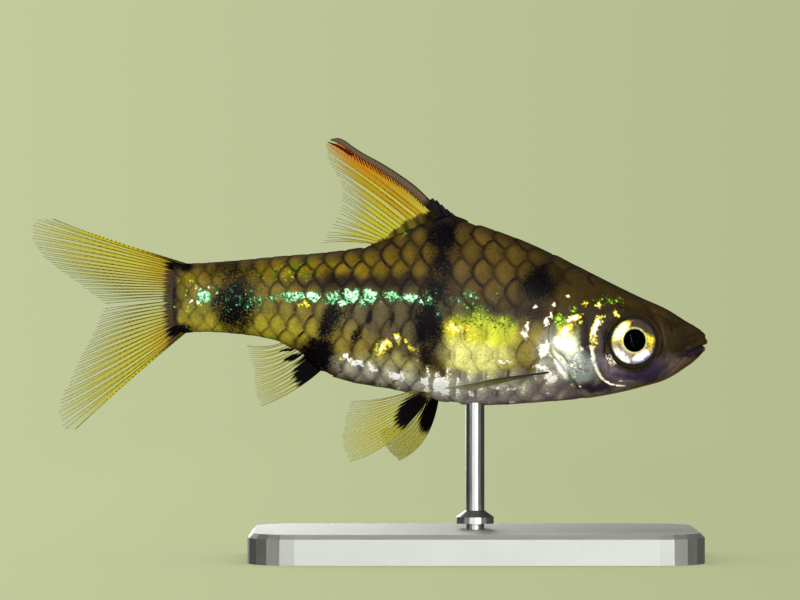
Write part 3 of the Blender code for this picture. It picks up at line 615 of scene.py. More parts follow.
# Folds of the skin, each as its height, how far it lies beside its line or from the eye's middle,
# and its half width
GILL_FOLDS = ((-0.05, -0.02, 0.05),)
CHEEK_FOLDS = ((0.055, 0.03, 0.07), (-0.05, -0.10, 0.06))
SUTURE_FOLDS = ((-0.035, 0.0, 0.05),)
ORBIT_FOLDS = ((0.05, ORBIT_RADIUS + 0.10, 0.09), (-0.03, ORBIT_RADIUS + 0.28, 0.08))
LIP_FOLDS = ((0.075, -0.19, 0.12), (0.06, 0.19, 0.11), (-0.035, -0.42, 0.07))
JAW_FOLDS = ((-0.04, 0.0, 0.05),)


def skin_rings():
    """Return where the skin's rings stand, closer on the head and closest at the snout's tip."""
    body = np.arange(TAIL_END_X, HEAD_START_X, BODY_STEP)
    head = np.arange(HEAD_START_X, SNOUT_TIP_X - SNOUT_LENGTH, HEAD_STEP)
    snout = SNOUT_TIP_X - SNOUT_LENGTH * np.linspace(1, 0, SNOUT_RINGS) ** 2
    return np.concatenate((body, head, snout))


def folds(forms, away):
    """Return the height of folds at distances from their line or middle."""
    return sum(height * bump(away, place, width) for height, place, width in forms)


def relief(x, z):
    """Return how far the skin's forms stand over the plain body, at places in the side view."""
    gill = -from_line(GILL_SEAM, x, z)[0]
    low = ease(14.7, 13.2, z) * ease(-0.1, 0.7, z - belly_at(x))
    rise = GILL_RISE * ease(0.0, 0.09, gill) * (1 - 0.75 * ease(0.8, 2.3, gill))
    fade = 0.04 + 0.9 * (1 - low)
    bed = SCALE_DEPTH * ease(fade * 0.5, -fade, gill) * ease(TAIL_END_X, BARE_TAIL_X, x)
    height = (rise + folds(GILL_FOLDS, gill)) * low - bed

    cheek, along = from_line(CHEEK_LINE, x, z)
    height += folds(CHEEK_FOLDS, cheek) * bump(along, 0.5, 0.5)
    suture, along = from_line(SUTURE_LINE, x, z)
    height += folds(SUTURE_FOLDS, suture) * bump(along, 0.5, 0.45)
    jaw, along = from_line(JAW_LINE, x, z)
    height += folds(JAW_FOLDS, jaw) * ease(1.0, 0.6, along)
    mouth, along = from_line(MOUTH_LINE, x, z)
    groove = (MOUTH_GROOVE + MOUTH_DEEPER * along) * bump(mouth, 0, 0.055)
    height += (folds(LIP_FOLDS, mouth) - groove) * ease(0.02, 0.30, along)

    eye = np.hypot(x - EYE_X, z - EYE_Z)
    height += folds(ORBIT_FOLDS, eye) - ORBIT_DEPTH * ease(ORBIT_RADIUS, ORBIT_RADIUS - 0.10, eye)
    for centre_x, centre_z, radius in NOSTRILS:
        away = np.hypot(x - centre_x, z - centre_z)
        height += NOSTRIL_RIM * bump(away, radius + 0.05, 0.05)
        height -= NOSTRIL_DEPTH * ease(radius, radius * 0.5, away)
    return height


def make_skin(finish):
    """Make the one skin of the whole fish, with the folds of its head."""
    rings = skin_rings()
    even = TURN * np.arange(SKIN_SIDES) / SKIN_SIDES
    turns = even + SIDE_CROWDING * np.sin(2 * even)
    x, turn = np.meshgrid(rings, turns, indexing="ij")
    points = skin_point(x, turn)
    along = np.gradient(points, axis=0)
    around = np.roll(points, -1, axis=1) - np.roll(points, 1, axis=1)
    normals = unit(np.cross(along, around))
    points = points + normals * relief(points[..., 0], points[..., 2])[..., None]
    flat = points.reshape(-1, 3)
    count = len(rings)
    middles = (points[0].mean(axis=0), points[-1].mean(axis=0) + (SNOUT_CAP, 0, 0))
    flat = np.concatenate((flat, middles))
    quads = grid_faces(count, SKIN_SIDES, wrap=True)[:, ::-1]
    triangles = np.concatenate((
        cap_faces(SKIN_SIDES, len(flat) - 2, 0),
        cap_faces(SKIN_SIDES, len(flat) - 1, (count - 1) * SKIN_SIDES, flipped=True),
    ))
    uv_x = np.concatenate((x.ravel(), (rings[0], rings[-1])))
    uv_turn = np.concatenate((np.broadcast_to(even, x.shape).ravel(), (0, 0)))
    corners = np.concatenate((quads.ravel(), triangles.ravel()))
    seen_turn = uv_turn[corners]
    tiny = 1e-6
    quad_turns = seen_turn[: quads.size].reshape(-1, 4)
    wraps = (quad_turns.max(axis=1) > even[-1] - tiny) & (quad_turns.min(axis=1) < tiny)
    quad_turns[wraps[:, None] & (quad_turns < tiny)] = TURN - tiny
    colour, marks, mint = paint(flat[:, 0], flat[:, 2])
    made = piece(
        "skin", finish, flat, quads, triangles,
        {
            "paint": colour, "marks": marks, "mint": mint, "net": np.zeros(len(flat)),
            "silver": silver(flat[:, 0], flat[:, 2]),
        },
        unwrap(uv_x[corners], seen_turn),
    )
    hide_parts("head", "trunk", "tail", "gill_cover_left", "gill_cover_right")


# Scales
GIRTH_X = np.linspace(-17.0, 7.0, 241)
GIRTH_ARC = np.arange(-9.0, 7.0, 0.05)
GIRTH_STEPS = 721
SPACING_STEPS = 800
SCALE_MARGIN = 0.1
RIM_SHARE = 0.97
SIZE_SPREAD = 0.012
BACK_TILT_SPREAD = 0.008
UP_TILT_SPREAD = 0.009
WAVE_HEIGHT = 0.004


def girth_map():
    """Return the turns round the body against x and the arc from the middle row, and its limits."""
    turns = np.linspace(0, math.pi, GIRTH_STEPS)
    rows = []
    limits = []
    for x in GIRTH_X:
        ring = skin_point(np.full(turns.shape, x), turns)
        arc = length_along(ring)
        at_zero = np.interp(-ROW_ZERO_Z, -ring[:, 2], arc)
        rows.append(np.interp(GIRTH_ARC, (at_zero - arc)[::-1], turns[::-1]))
        limits.append((at_zero - arc[-1], at_zero))
    return np.array(rows), np.array(limits)


GIRTH_TURN, GIRTH_LIMITS = girth_map()


def turn_at(x, arc):
    """Return the turn round the body at an arc from the middle row, up being positive."""
    row = np.clip((x - GIRTH_X[0]) / (GIRTH_X[1] - GIRTH_X[0]), 0, len(GIRTH_X) - 1.001)
    column = np.clip((arc - GIRTH_ARC[0]) / (GIRTH_ARC[1] - GIRTH_ARC[0]), 0, len(GIRTH_ARC) - 1.001)
    i, j = row.astype(int), column.astype(int)
    s, t = row - i, column - j
    upper = GIRTH_TURN[i, j] * (1 - t) + GIRTH_TURN[i, j + 1] * t
    lower = GIRTH_TURN[i + 1, j] * (1 - t) + GIRTH_TURN[i + 1, j + 1] * t
    return upper * (1 - s) + lower * s


def flank_point(x, arc, side):
    """Return points of the body by their arc from the middle row, over the back's middle too."""
    high = np.interp(x, GIRTH_X, GIRTH_LIMITS[:, 1])
    low = np.interp(x, GIRTH_X, GIRTH_LIMITS[:, 0])
    over = arc > high
    under = arc < low
    folded = np.where(over, 2 * high - arc, np.where(under, 2 * low - arc, arc))
    turn = turn_at(x, folded)
    point = skin_point(x, turn)
    point[..., 1] *= np.where(over | under, -1, 1) * side
    return point


def flank_frame(x, arc, side):
    """Return points of the body's surface with their outward normals."""
    small = 0.04
    point = flank_point(x, arc, side)
    along = flank_point(x + small, arc, side) - flank_point(x - small, arc, side)
    around = flank_point(x, arc + small, side) - flank_point(x, arc - small, side)
    return point, unit(np.cross(around, along) * side)


def scale_places():
    """Return the middle of each scale on one side, as x and row, row by row."""
    xs = np.linspace(SCALE_SPACING[0][0], LAST_SCALE_X, SPACING_STEPS)
    count = np.concatenate(([0], np.cumsum(np.diff(xs) / spacing_at(xs[:-1]))))
    phase = np.interp(ROW_ZERO_X, xs, count) % 1
    places = []
    for row in range(LOWEST_ROW, HIGHEST_ROW + 1):
        for index in range(-1, int(count[-1]) + 1):
            step = index + phase + 0.5 * (row % 2)
            x = np.interp(step, count, xs)
            arc = row * row_step_at(x)
            low, high = (np.interp(x, GIRTH_X, limits) for limits in GIRTH_LIMITS.T)
            z = flank_point(np.array([x]), np.array([arc]), 1)[0, 2]
            gill, _ = from_line(GILL_SEAM, np.array([x]), np.array([z]))
            nape = max(NAPE_LOW, NAPE_LOW + NAPE_RISE * (x - NAPE_START_X))
            inside = 0 < step < count[-1] and low + SCALE_MARGIN < arc < high - SCALE_MARGIN
            if inside and x > FIRST_SCALE_X and (gill[0] > SCALE_MARGIN or z > nape):
                places.append((x, row))
    return np.array(places)


def scale_pattern():
    """Return one scale's points, as shares back and up with a ring number, and its faces."""
    spokes = TURN * np.arange(SCALE_SPOKES) / SCALE_SPOKES
    cosine, sine = np.cos(spokes), np.sin(spokes)
    rear = cosine > 0
    power = np.where(rear, REAR_POINT, 2.0)
    long = np.where(rear, SCALE_REAR, SCALE_FRONT)
    sums = (np.abs(cosine) / long) ** power + (np.abs(sine) / SCALE_HALF_HEIGHT) ** power
    outline = np.stack((cosine, sine), axis=1) * (sums ** (-1 / power))[:, None]
    rings = [np.zeros((1, 3))]
    for share in SCALE_RINGS:
        rings.append(np.column_stack((outline * share, np.full(SCALE_SPOKES, share))))
    under = np.column_stack((outline * RIM_SHARE, np.full(SCALE_SPOKES, -RIM_SHARE)))
    points = np.concatenate((*rings, under, [(0, 0, -0.001)]))
    rings_made = len(SCALE_RINGS) + 1
    quads = grid_faces(rings_made, SCALE_SPOKES, wrap=True)[:, (0, 3, 2, 1)] + 1
    foot = 1 + (rings_made - 1) * SCALE_SPOKES
    triangles = np.concatenate((
        cap_faces(SCALE_SPOKES, 0, 1),
        cap_faces(SCALE_SPOKES, len(points) - 1, foot, flipped=True),
    ))
    return points, quads, triangles


def scale_shading(colour, marks, mint, places, pattern, random):
    """Shade each scale: its tone and painted shade, golden middle, dark rim and tip, mint patch and
    painted belly highlights.

    Its back and up count from its own middle, and its ring is 1 at its rim.
    """
    x = places[:, 0:1]
    arc = places[:, 1:2] * row_step_at(x)
    back, up, ring = pattern.T
    ring = np.abs(ring)
    above = ease(0.2, 0.9, arc)
    under = ease(0.2, -0.6, arc)
    pale = ease(-1.7, -1.1, x) * ease(3.0, 2.2, x) * ease(-0.9, -1.3, arc)
    low = ease(-3.0, -4.2, arc) * ease(-8.0, -6.5, x)
    front = ease(-1.5, 1.5, x)
    rear = ease(-9.0, -12.0, x)
    gilt = ease(-1.2, -2.6, x) * above
    count = len(places)

    def drawn(lowest, highest):
        return random.uniform(lowest, highest, (count, 1))

    # Each scale's tone differs at random and is lighter in its middle; the darkening towards its front
    # is painted shade where it lies under the rear edge of the scale ahead of it
    light = random.normal(1.0, 0.08, (count, 1))
    light = light * (1 + 0.12 * (1 - ring ** 2)) * (1 - 0.20 * ease(0.15, -0.25, back))
    colour = colour * light[..., None]
    middle = gilt * ease(0.9, 0.1, np.hypot((back - 0.12) / 0.40, up / 0.50))
    middle = middle * drawn(0.0, 0.34)
    colour = laid_over(colour, SCALE_GOLD, middle)

    rim = ease(0.62, 0.90, ring) * ease(-0.30, 0.05, back) * (1 - 0.60 * under * ease(0.05, -0.2, up))
    tip = np.maximum(ease(0.60, 0.95, ring) * (back > 0), ease(-0.22, -0.44, back)) * bump(up, 0, 0.24)
    fade = 0.60 * pale + 0.30 * low + 0.45 * rear
    line = 1.02 - 0.10 * under - 0.06 * front - 0.14 * ease(4.0, 5.2, x) - fade
    knot = 1.10 - 0.50 * front - fade
    net = np.maximum(rim * np.clip(line, 0, 1), tip * np.clip(knot, 0, 1))
    net = net * drawn(0.7, 1.1)
    streak = bump(back, 0.44, 0.10) * ease(0.38, 0.16, np.abs(up)) * pale
    net = np.maximum(net, streak * drawn(0.2, 0.9))
    # Painted shade, purple, at the front of each scale low on the belly
    shade = low * ease(0.05, -0.30, back) * 0.4
    colour = laid_over(colour, BELLY_SHADE, shade)

    patch = ease(0.54, 0.34, np.abs(back - 0.11)) * (1 - 0.6 * rim)
    mint = mint * np.maximum(patch, ease(-8.2, -9.0, x)) * drawn(0.75, 1.1)
    net = net * (1 - 0.6 * ease(0.2, 0.7, mint))
    # Painted highlight streaks on the low belly's scales
    shine = low * bump(back, 0.22, 0.12) * ease(0.55, 0.2, np.abs(up)) * 0.5
    glint = np.maximum(marks[..., 1], shine * drawn(0.0, 1.0))
    marks = np.stack((marks[..., 0], glint, marks[..., 2], marks[..., 3]), axis=-1)
    return colour, marks, mint, net


def make_scales(name, places, side, finish, seed):
    """Make overlapping scales as one piece of closed plates, each in its own bake patch."""
    pattern, quads, triangles = scale_pattern()
    random = np.random.default_rng(seed)
    count = len(places)
    x0, row0 = places[:, 0:1], places[:, 1:2]
    spacing = spacing_at(x0) / SCALE_ROOM
    back, up, ring = pattern.T
    size_change = 1 + random.normal(0, SIZE_SPREAD, (count, 1))
    x = x0 - back * size_change * spacing
    arc = (row0 + up * size_change) * row_step_at(x)
    point, normal = flank_frame(x, arc, side)
    share = (back + SCALE_FRONT) / (SCALE_FRONT + SCALE_REAR)
    height = ROOT_LIFT + (EDGE_LIFT - ROOT_LIFT) * share ** 0.8
    height = height - PLATE * (ring < 0)
    tilt = random.normal(0, BACK_TILT_SPREAD, (count, 1)) * back
    tilt = tilt + random.normal(0, UP_TILT_SPREAD, (count, 1)) * up
    wave = WAVE_HEIGHT * np.sin(back * 9 + random.uniform(0, TURN, (count, 1))) * (ring >= 0)
    flush = 1 - 0.8 * ease(0.70, 0.97, np.abs(normal[..., 2]))
    point = point + normal * ((height + tilt + wave) * flush)[..., None]

    sx, sz = point[..., 0], point[..., 2]
    colour, marks, mint, net = scale_shading(*paint(sx, sz), places, pattern, random)

    size = len(pattern)
    root_turn = turn_at(x0[:, 0], (row0 * row_step_at(x0))[:, 0])
    root = unwrap(x0[:, 0] + 0.5, np.where(side > 0, 0, TURN) + side * root_turn)
    local = np.stack((back, up), axis=1) * PATCH / 2
    rim = np.abs(ring) > RIM_SHARE

    def corners_uv(faces):
        on_rim = rim[faces].all(axis=1)[:, None, None]
        spot = local[faces] + np.where(on_rim, np.array((0.0, 1.6 * PATCH)), 0)
        return (root[:, None, None, :] + spot[None]).reshape(-1, 2)

    made = piece(
        name, finish, point.reshape(-1, 3), repeated(quads, count, size),
        repeated(triangles, count, size),
        {
            "paint": colour.reshape(-1, 3), "marks": marks.reshape(-1, 4), "mint": mint.ravel(),
            "net": net.ravel(), "silver": silver(sx, sz).ravel(),
        },
        np.concatenate((corners_uv(quads), corners_uv(triangles))),
    )


# Materials
SKIN_BUMP = 0.00003
METAL_BUMP = 0.00005

# Features in a metre of the skin's noises and cells
SKIN_FINE = 9000
SKIN_OTHER = 12500
SKIN_BROAD = 2600
SKIN_DOTS = 11000
SKIN_GRAINS = 9500


def nodes_of(name):
    """Return a new material with its node tree and its Principled shader."""
    made = bpy.data.materials.new(name)
    made.use_nodes = True
    return made, made.node_tree, made.node_tree.nodes["Principled BSDF"]


def add(tree, kind, settings=None, **inputs):
    """Add a node, with its settings, and with values or links for its inputs by name."""
    made = tree.nodes.new(kind)
    for key, value in (settings or {}).items():
        setattr(made, key, value)
    for key, value in inputs.items():
        socket = made.inputs[int(key[1:]) if key[0] == "_" else key.replace("_", " ")]
        if isinstance(value, bpy.types.NodeSocket):
            tree.links.new(value, socket)
        else:
            socket.default_value = value
    return made


def attribute(tree, name):
    """Add a node that reads a point attribute."""
    return add(tree, "ShaderNodeAttribute", {"attribute_name": name})


def number(tree, operation, *values):
    """Add a math node and return its result."""
    inputs = {f"_{i}": value for i, value in enumerate(values)}
    return add(tree, "ShaderNodeMath", {"operation": operation}, **inputs).outputs[0]


def times(tree, first, second):
    """Return the product of two values."""
    return number(tree, "MULTIPLY", first, second)


def plus(tree, first, second):
    """Return the sum of two values."""
    return number(tree, "ADD", first, second)


def between(tree, value, low, high):
    """Return a smooth step of a value from 0 at low to 1 at high."""
    made = add(tree, "ShaderNodeMapRange", {"interpolation_type": "SMOOTHSTEP"},
               Value=value, From_Min=low, From_Max=high)
    return made.outputs[0]


def set_values(shader, **values):
    """Set a shader's plain values by the names of its inputs."""
    for key, value in values.items():
        shader.inputs[key.replace("_", " ")].default_value = value


def roughen(tree, shader, strength, distance, height):
    """Give a surface fine bumps, with a distance in metres."""
    made = add(tree, "ShaderNodeBump", None, Strength=strength, Distance=distance, Height=height)
    tree.links.new(made.outputs[0], shader.inputs["Normal"])


def mixed(tree, share, first, second):
    """Return a mix of two colours."""
    made = add(tree, "ShaderNodeMix", {"data_type": "RGBA"}, _0=share, _6=first, _7=second)
    return made.outputs[2]


def shaded(tree, colour, shade):
    """Return a colour multiplied by a shade."""
    settings = {"data_type": "RGBA", "blend_type": "MULTIPLY"}
    return add(tree, "ShaderNodeMix", settings, _0=1.0, _6=colour, _7=shade).outputs[2]


def shared_out(tree, colour):
    """Return the three channels of a colour."""
    return list(add(tree, "ShaderNodeSeparateColor", None, Color=colour).outputs)


def noise(tree, scale, detail=2.0):
    """Return a noise value with so many features in a metre."""
    place = add(tree, "ShaderNodeTexCoord").outputs["Object"]
    return add(tree, "ShaderNodeTexNoise", None, Vector=place, Scale=scale, Detail=detail).outputs[0]


def cells(tree, scale):
    """Return the distance to the middle of the nearest cell, and the cell's own colour."""
    place = add(tree, "ShaderNodeTexCoord").outputs["Object"]
    made = add(tree, "ShaderNodeTexVoronoi", None, Vector=place, Scale=scale)
    return made.outputs["Distance"], made.outputs["Color"]


def mix_surfaces(tree, share, first, second):
    """Give a material's surface as a mix of two shaders."""
    made = add(tree, "ShaderNodeMixShader", None, _0=share, _1=first.outputs[0], _2=second.outputs[0])
    tree.links.new(made.outputs[0], tree.nodes["Material Output"].inputs["Surface"])


def colour4(colour):
    """Return a colour with its alpha of 1."""
    return (*(float(part) for part in colour), 1.0)


def skin_material():
    """Make the wet skin, whose marks break up into specks and glints at their edges."""
    made, tree, shader = nodes_of("fish_skin")
    base = attribute(tree, "paint").outputs["Color"]
    marks = attribute(tree, "marks")
    dark, glint, gold = shared_out(tree, marks.outputs["Color"])
    green = marks.outputs["Alpha"]
    mint = attribute(tree, "mint").outputs["Fac"]
    fine = noise(tree, SKIN_FINE, 3)
    other = noise(tree, SKIN_OTHER, 2)
    broad = noise(tree, SKIN_BROAD, 2)
    dot_distance, dot_colour = cells(tree, SKIN_DOTS)
    dot = shared_out(tree, dot_colour)[1]
    one, two, three = shared_out(tree, cells(tree, SKIN_GRAINS)[1])
    ragged = plus(tree, times(tree, broad, 0.5), times(tree, fine, 0.5))

    def stirred(mask, grain, amount):
        return plus(tree, mask, times(tree, number(tree, "SUBTRACT", grain, 0.5), amount))

    def within(mask, value, low, high):
        return times(tree, between(tree, value, low, high), between(tree, mask, 0.0, 0.12))

    def broken(mask, grain, amount, low, high):
        return within(mask, stirred(mask, grain, amount), low, high)

    def grains(mask, chance, low, high):
        value = number(tree, "SUBTRACT", stirred(mask, ragged, 2.4), times(tree, chance, 0.8))
        return within(mask, value, low, high)

    shade = plus(tree, fine, number(tree, "MULTIPLY_ADD", broad, 0.8, 0.20))
    dots = times(tree, between(tree, dot_distance, 0.42, 0.22), between(tree, dot, 0.60, 0.70))
    net = attribute(tree, "net").outputs["Fac"]
    netted = times(tree, net, number(tree, "MULTIPLY_ADD", ragged, 2.0, -0.12))
    smooth_dark = between(tree, stirred(dark, ragged, 0.9), 0.02, 0.95)
    dotted_dark = broken(dark, other, 2.6, 0.42, 0.70)
    darkness = plus(tree, times(tree, smooth_dark, 0.68), times(tree, dotted_dark, 0.40))
    final = shaded(tree, base, shade)
    for share, colour in (
        (times(tree, dots, 0.5), tint(34, 26, 20)),
        (grains(green, one, 0.10, 0.35), tint(58, 108, 8)),
        (grains(green, two, 0.25, 0.50), tint(180, 216, 40)),
        (broken(gold, broad, 1.6, 0.18, 0.90), tint(150, 132, 14)),
        (grains(gold, one, 0.02, 0.20), tint(206, 180, 14)),
        (grains(gold, two, 0.12, 0.34), tint(252, 240, 66)),
        (grains(gold, three, 0.42, 0.70), tint(255, 253, 205)),
        (netted, SCALE_EDGE),
        (darkness, BLACK),
        # Painted highlights where the glint marks lie: a pale haze, then cream and white grains
        (times(tree, broken(glint, broad, 1.0, 0.10, 0.80), 0.80), tint(190, 184, 152)),
        (grains(glint, one, 0.02, 0.40), tint(232, 216, 162)),
        (grains(glint, two, 0.08, 0.42), tint(250, 250, 236)),
        (grains(glint, three, 0.28, 0.62), tint(255, 255, 255)),
        (grains(mint, one, 0.04, 0.24), tint(48, 104, 62)),
        (grains(mint, two, 0.20, 0.44), tint(128, 220, 150)),
        (grains(mint, three, 0.42, 0.72), tint(226, 252, 226)),
    ):
        final = mixed(tree, share, final, colour4(colour))
    tree.links.new(final, shader.inputs["Base Color"])

    mirror = attribute(tree, "silver").outputs["Fac"]
    metal = times(tree, mirror, number(tree, "SUBTRACT", 0.4, between(tree, dark, 0.2, 0.6)))
    tree.links.new(number(tree, "MAXIMUM", metal, 0.0), shader.inputs["Metallic"])
    tree.links.new(number(tree, "MULTIPLY_ADD", fine, 0.25, 0.30), shader.inputs["Roughness"])
    roughen(tree, shader, 0.35, SKIN_BUMP, fine)
    set_values(shader, Specular_IOR_Level=0.03, Coat_Weight=0.02, Coat_Roughness=0.20)
    return made


def make_coat(finish):
    """Make the scales of both sides, each side in two pieces."""
    places = scale_places()
    middle = np.median(places[:, 0])
    for side, side_name in SIDES:
        for part, chosen in (("front", places[:, 0] >= middle), ("rear", places[:, 0] < middle)):
            make_scales(f"scales_{side_name}_{part}", places[chosen], side, finish, 11 + side)


# Eyes
def eye_frame(side):
    """Return the middle of an eye's rim and the directions out, back and up."""
    out = unit(np.array((EYE_LEAN, side * 1.0, 0.03)))
    up = unit(np.cross(out, np.cross((0, 0, 1.0), out)))
    back = np.cross(up, out) * side
    return np.array((EYE_X, side * EYE_Y, EYE_Z)), out, back, up


def around_eye(side, radii, heights, turns):
    """Return points at radii round an eye's middle and at heights over its rim."""
    centre, out, back, up = eye_frame(side)
    way = np.cos(turns)[..., None] * back + np.sin(turns)[..., None] * up
    return centre + heights[..., None] * out + radii[..., None] * way


def make_eye_part(name, side, finish, radii, heights, spokes, shift=(0, 0), coloured=False):
    """Make a closed dome from rings of an eye, its middle shifted back and up."""
    centre, out, back, up = eye_frame(side)
    turns = TURN * np.arange(spokes) / spokes
    rings = around_eye(side, radii[:, None], heights[:, None], turns[None, :]).reshape(-1, 3)
    ends = centre + heights[[0, -1], None] * out
    points = np.concatenate((rings, ends)) + shift[0] * back + shift[1] * up
    quads = grid_faces(len(radii), spokes, wrap=True)
    triangles = np.concatenate((
        cap_faces(spokes, len(rings), 0, flipped=True),
        cap_faces(spokes, len(rings) + 1, (len(radii) - 1) * spokes),
    ))
    if side > 0:
        quads, triangles = quads[:, ::-1], triangles[:, ::-1]
    away = points - centre
    attributes = {"paint": iris_colour(away @ back, away @ up)} if coloured else None
    made = piece(name, finish, points, quads, triangles, attributes)
    return made


IRIS_RINGS = 30
IRIS_SPOKES = 128
IRIS_RISE = 0.20
IRIS_CURVE = 1.5
PUPIL_HEIGHT = 0.13
PUPIL_HALF = 0.16
DOME_SPOKES = 64
CORNEA_RISE = 0.30
RIM_STEPS = 96
RIM_SIDES = 16
RIM_HALF_WIDTH = 0.13
RIM_HALF_HEIGHT = 0.075
IRIS_BRONZE = tint(104, 86, 54)
IRIS_DARK = tint(52, 43, 28)
IRIS_GOLD = tint(244, 220, 48)
IRIS_WHITE = tint(255, 254, 236)
IRIS_SILVER = tint(156, 142, 140)
IRIS_OLIVE = tint(190, 166, 44)
IRIS_RUST = tint(140, 78, 24)
IRIS_BLUE = tint(132, 150, 206)
IRIS_RING = tint(206, 204, 128)
IRIS_RIM = tint(24, 18, 14)

# Patches of the iris, one over the other: colour, middle back and up, half sizes, lean in degrees,
# softness, strength
IRIS_PATCHES = (
    (IRIS_DARK, -0.30, 1.0, 0.95, 0.48, 0, 0.5, 0.95),
    (IRIS_DARK, -0.80, 0.60, 0.35, 0.30, 0, 0.8, 0.8),
    (IRIS_GOLD, 0.84, 0.48, 0.38, 0.72, 30, 0.35, 1.0),
    (IRIS_GOLD, 0.50, 0.95, 0.24, 0.11, -15, 0.6, 0.9),
    (IRIS_WHITE, 0.76, 0.42, 0.20, 0.48, 28, 0.5, 1.0),
    (IRIS_GOLD, 0.62, -0.05, 0.20, 0.30, 0, 0.7, 0.7),
    (IRIS_SILVER, 0.55, -0.45, 0.40, 0.18, 45, 0.7, 0.8),
    (IRIS_WHITE, 0.70, -0.78, 0.60, 0.22, 39, 0.4, 1.0),
    (IRIS_SILVER, 0.50, -0.70, 0.16, 0.10, 39, 0.8, 0.7),
    (IRIS_BLUE, -0.46, -0.90, 0.55, 0.20, -33, 0.5, 0.9),
    (IRIS_WHITE, -0.42, -0.74, 0.60, 0.22, -33, 0.35, 1.0),
    (IRIS_SILVER, 0.17, -0.85, 0.09, 0.34, 10, 0.7, 0.9),
    (IRIS_RUST, 0.03, -0.92, 0.05, 0.12, 0, 0.8, 0.7),
    (IRIS_OLIVE, -0.92, -0.20, 0.17, 0.42, 12, 0.5, 0.95),
    (IRIS_GOLD, -0.98, 0.17, 0.17, 0.26, 0, 0.5, 1.0),
    (IRIS_RUST, -0.82, 0.08, 0.06, 0.14, 0, 0.6, 0.7),
    (IRIS_RUST, 0.10, 1.14, 0.10, 0.05, 0, 0.6, 0.9),
)


def iris_colour(back, up):
    """Return the iris's colour at places measured back and up from its middle."""
    radius = np.hypot(back, up)
    colour = np.broadcast_to(IRIS_BRONZE, (*np.shape(radius), 3)).copy()
    away_back, away_up = swayed(back, up)
    for patch, *mark in IRIS_PATCHES:
        colour = laid_over(colour, patch, blob(mark, away_back, away_up))
    from_pupil = np.hypot(back - PUPIL_BACK, up - PUPIL_UP)
    colour = laid_over(colour, IRIS_RING, bump(from_pupil, PUPIL_RADIUS + 0.05, 0.045) * 0.9)
    return laid_over(colour, IRIS_RIM, ease(IRIS_RADIUS - 0.12, IRIS_RADIUS - 0.01, radius))


def iris_material():
    """Make the iris's foil-like finish."""
    made, tree, shader = nodes_of("iris")
    base = attribute(tree, "paint").outputs["Color"]
    fine = noise(tree, 11000, 3)
    grain = shared_out(tree, cells(tree, 12000)[1])[0]
    speck = plus(tree, times(tree, grain, 0.35), times(tree, fine, 0.8))
    shade = number(tree, "MULTIPLY_ADD", between(tree, speck, 0.34, 0.64), 0.62, 0.50)
    tree.links.new(shaded(tree, base, shade), shader.inputs["Base Color"])
    roughen(tree, shader, 0.5, SKIN_BUMP, fine)
    set_values(shader, Roughness=0.5, Specular_IOR_Level=0.1)
    return made


def plain_material(name, colour, roughness, gloss):
    """Make a material of one colour with a fine unevenness."""
    made, tree, shader = nodes_of(name)
    fine = noise(tree, 6000, 3)
    shade = mixed(tree, fine, colour4(np.array(colour) * 0.75), colour4(np.array(colour) * 1.2))
    tree.links.new(shade, shader.inputs["Base Color"])
    set_values(shader, Roughness=roughness, Specular_IOR_Level=gloss)
    return made


def cornea_material():
    """Make the clear cornea, which only adds its shine."""
    made = bpy.data.materials.new("cornea")
    made.use_nodes = True
    tree = made.node_tree
    tree.nodes.remove(tree.nodes["Principled BSDF"])
    clear = add(tree, "ShaderNodeBsdfTransparent")
    shine = add(tree, "ShaderNodeBsdfGlossy", None, Roughness=0.03)
    share = times(tree, add(tree, "ShaderNodeFresnel", None, IOR=1.36).outputs[0], 0.02)
    mix_surfaces(tree, share, clear, shine)
    return made


def make_eyes():
    """Make each eye's iris, pupil, cornea and the dark ring of its rim."""
    iris_finish = iris_material()
    black = plain_material("pupil", tint(2, 2, 3), 0.5, 0.0)
    ring_finish = plain_material("eye_rim", tint(32, 25, 14), 0.6, 0.03)
    clear = cornea_material()
    iris_reach = np.linspace(PUPIL_RADIUS - 0.05, IRIS_RADIUS + 0.02, IRIS_RINGS)
    iris_dome = IRIS_RISE * np.sqrt(1 - (iris_reach / IRIS_CURVE) ** 2) - 0.02
    iris_radii = np.append(iris_reach, (IRIS_RADIUS, 0.4))
    iris_heights = np.append(iris_dome, (-0.25, -0.45))
    ball = np.linspace(0.02, math.pi - 0.02, 24)
    dome = np.linspace(0.02, math.pi / 2, 20)
    dome_radii = np.append(IRIS_RADIUS * 1.02 * np.sin(dome), IRIS_RADIUS)
    dome_heights = np.append(0.06 + CORNEA_RISE * np.cos(dome), -0.05)
    around = TURN * np.arange(RIM_STEPS)[:, None] / RIM_STEPS
    across = TURN * np.arange(RIM_SIDES)[None, :] / RIM_SIDES
    for side, side_name in SIDES:
        make_eye_part(
            f"iris_{side_name}", side, iris_finish, iris_radii, iris_heights, IRIS_SPOKES,
            coloured=True,
        )
        make_eye_part(
            f"pupil_{side_name}", side, black, PUPIL_RADIUS * np.sin(ball),
            PUPIL_HEIGHT + PUPIL_HALF * np.cos(ball), DOME_SPOKES, (PUPIL_BACK, PUPIL_UP),
        )
        cornea = make_eye_part(
            f"cornea_{side_name}", side, clear, dome_radii, dome_heights, DOME_SPOKES
        )
        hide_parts(f"eye_{side_name}")

        radii = ORBIT_RADIUS - 0.03 + RIM_HALF_WIDTH * np.cos(across)
        heights = 0.015 + RIM_HALF_HEIGHT * np.sin(across)
        ring = around_eye(side, radii, heights, around).reshape(-1, 3)
        quads = grid_faces(RIM_STEPS + 1, RIM_SIDES, wrap=True) % (RIM_STEPS * RIM_SIDES)
        if side < 0:
            quads = quads[:, ::-1]
        rim = piece(f"eye_rim_{side_name}", ring_finish, ring, quads)


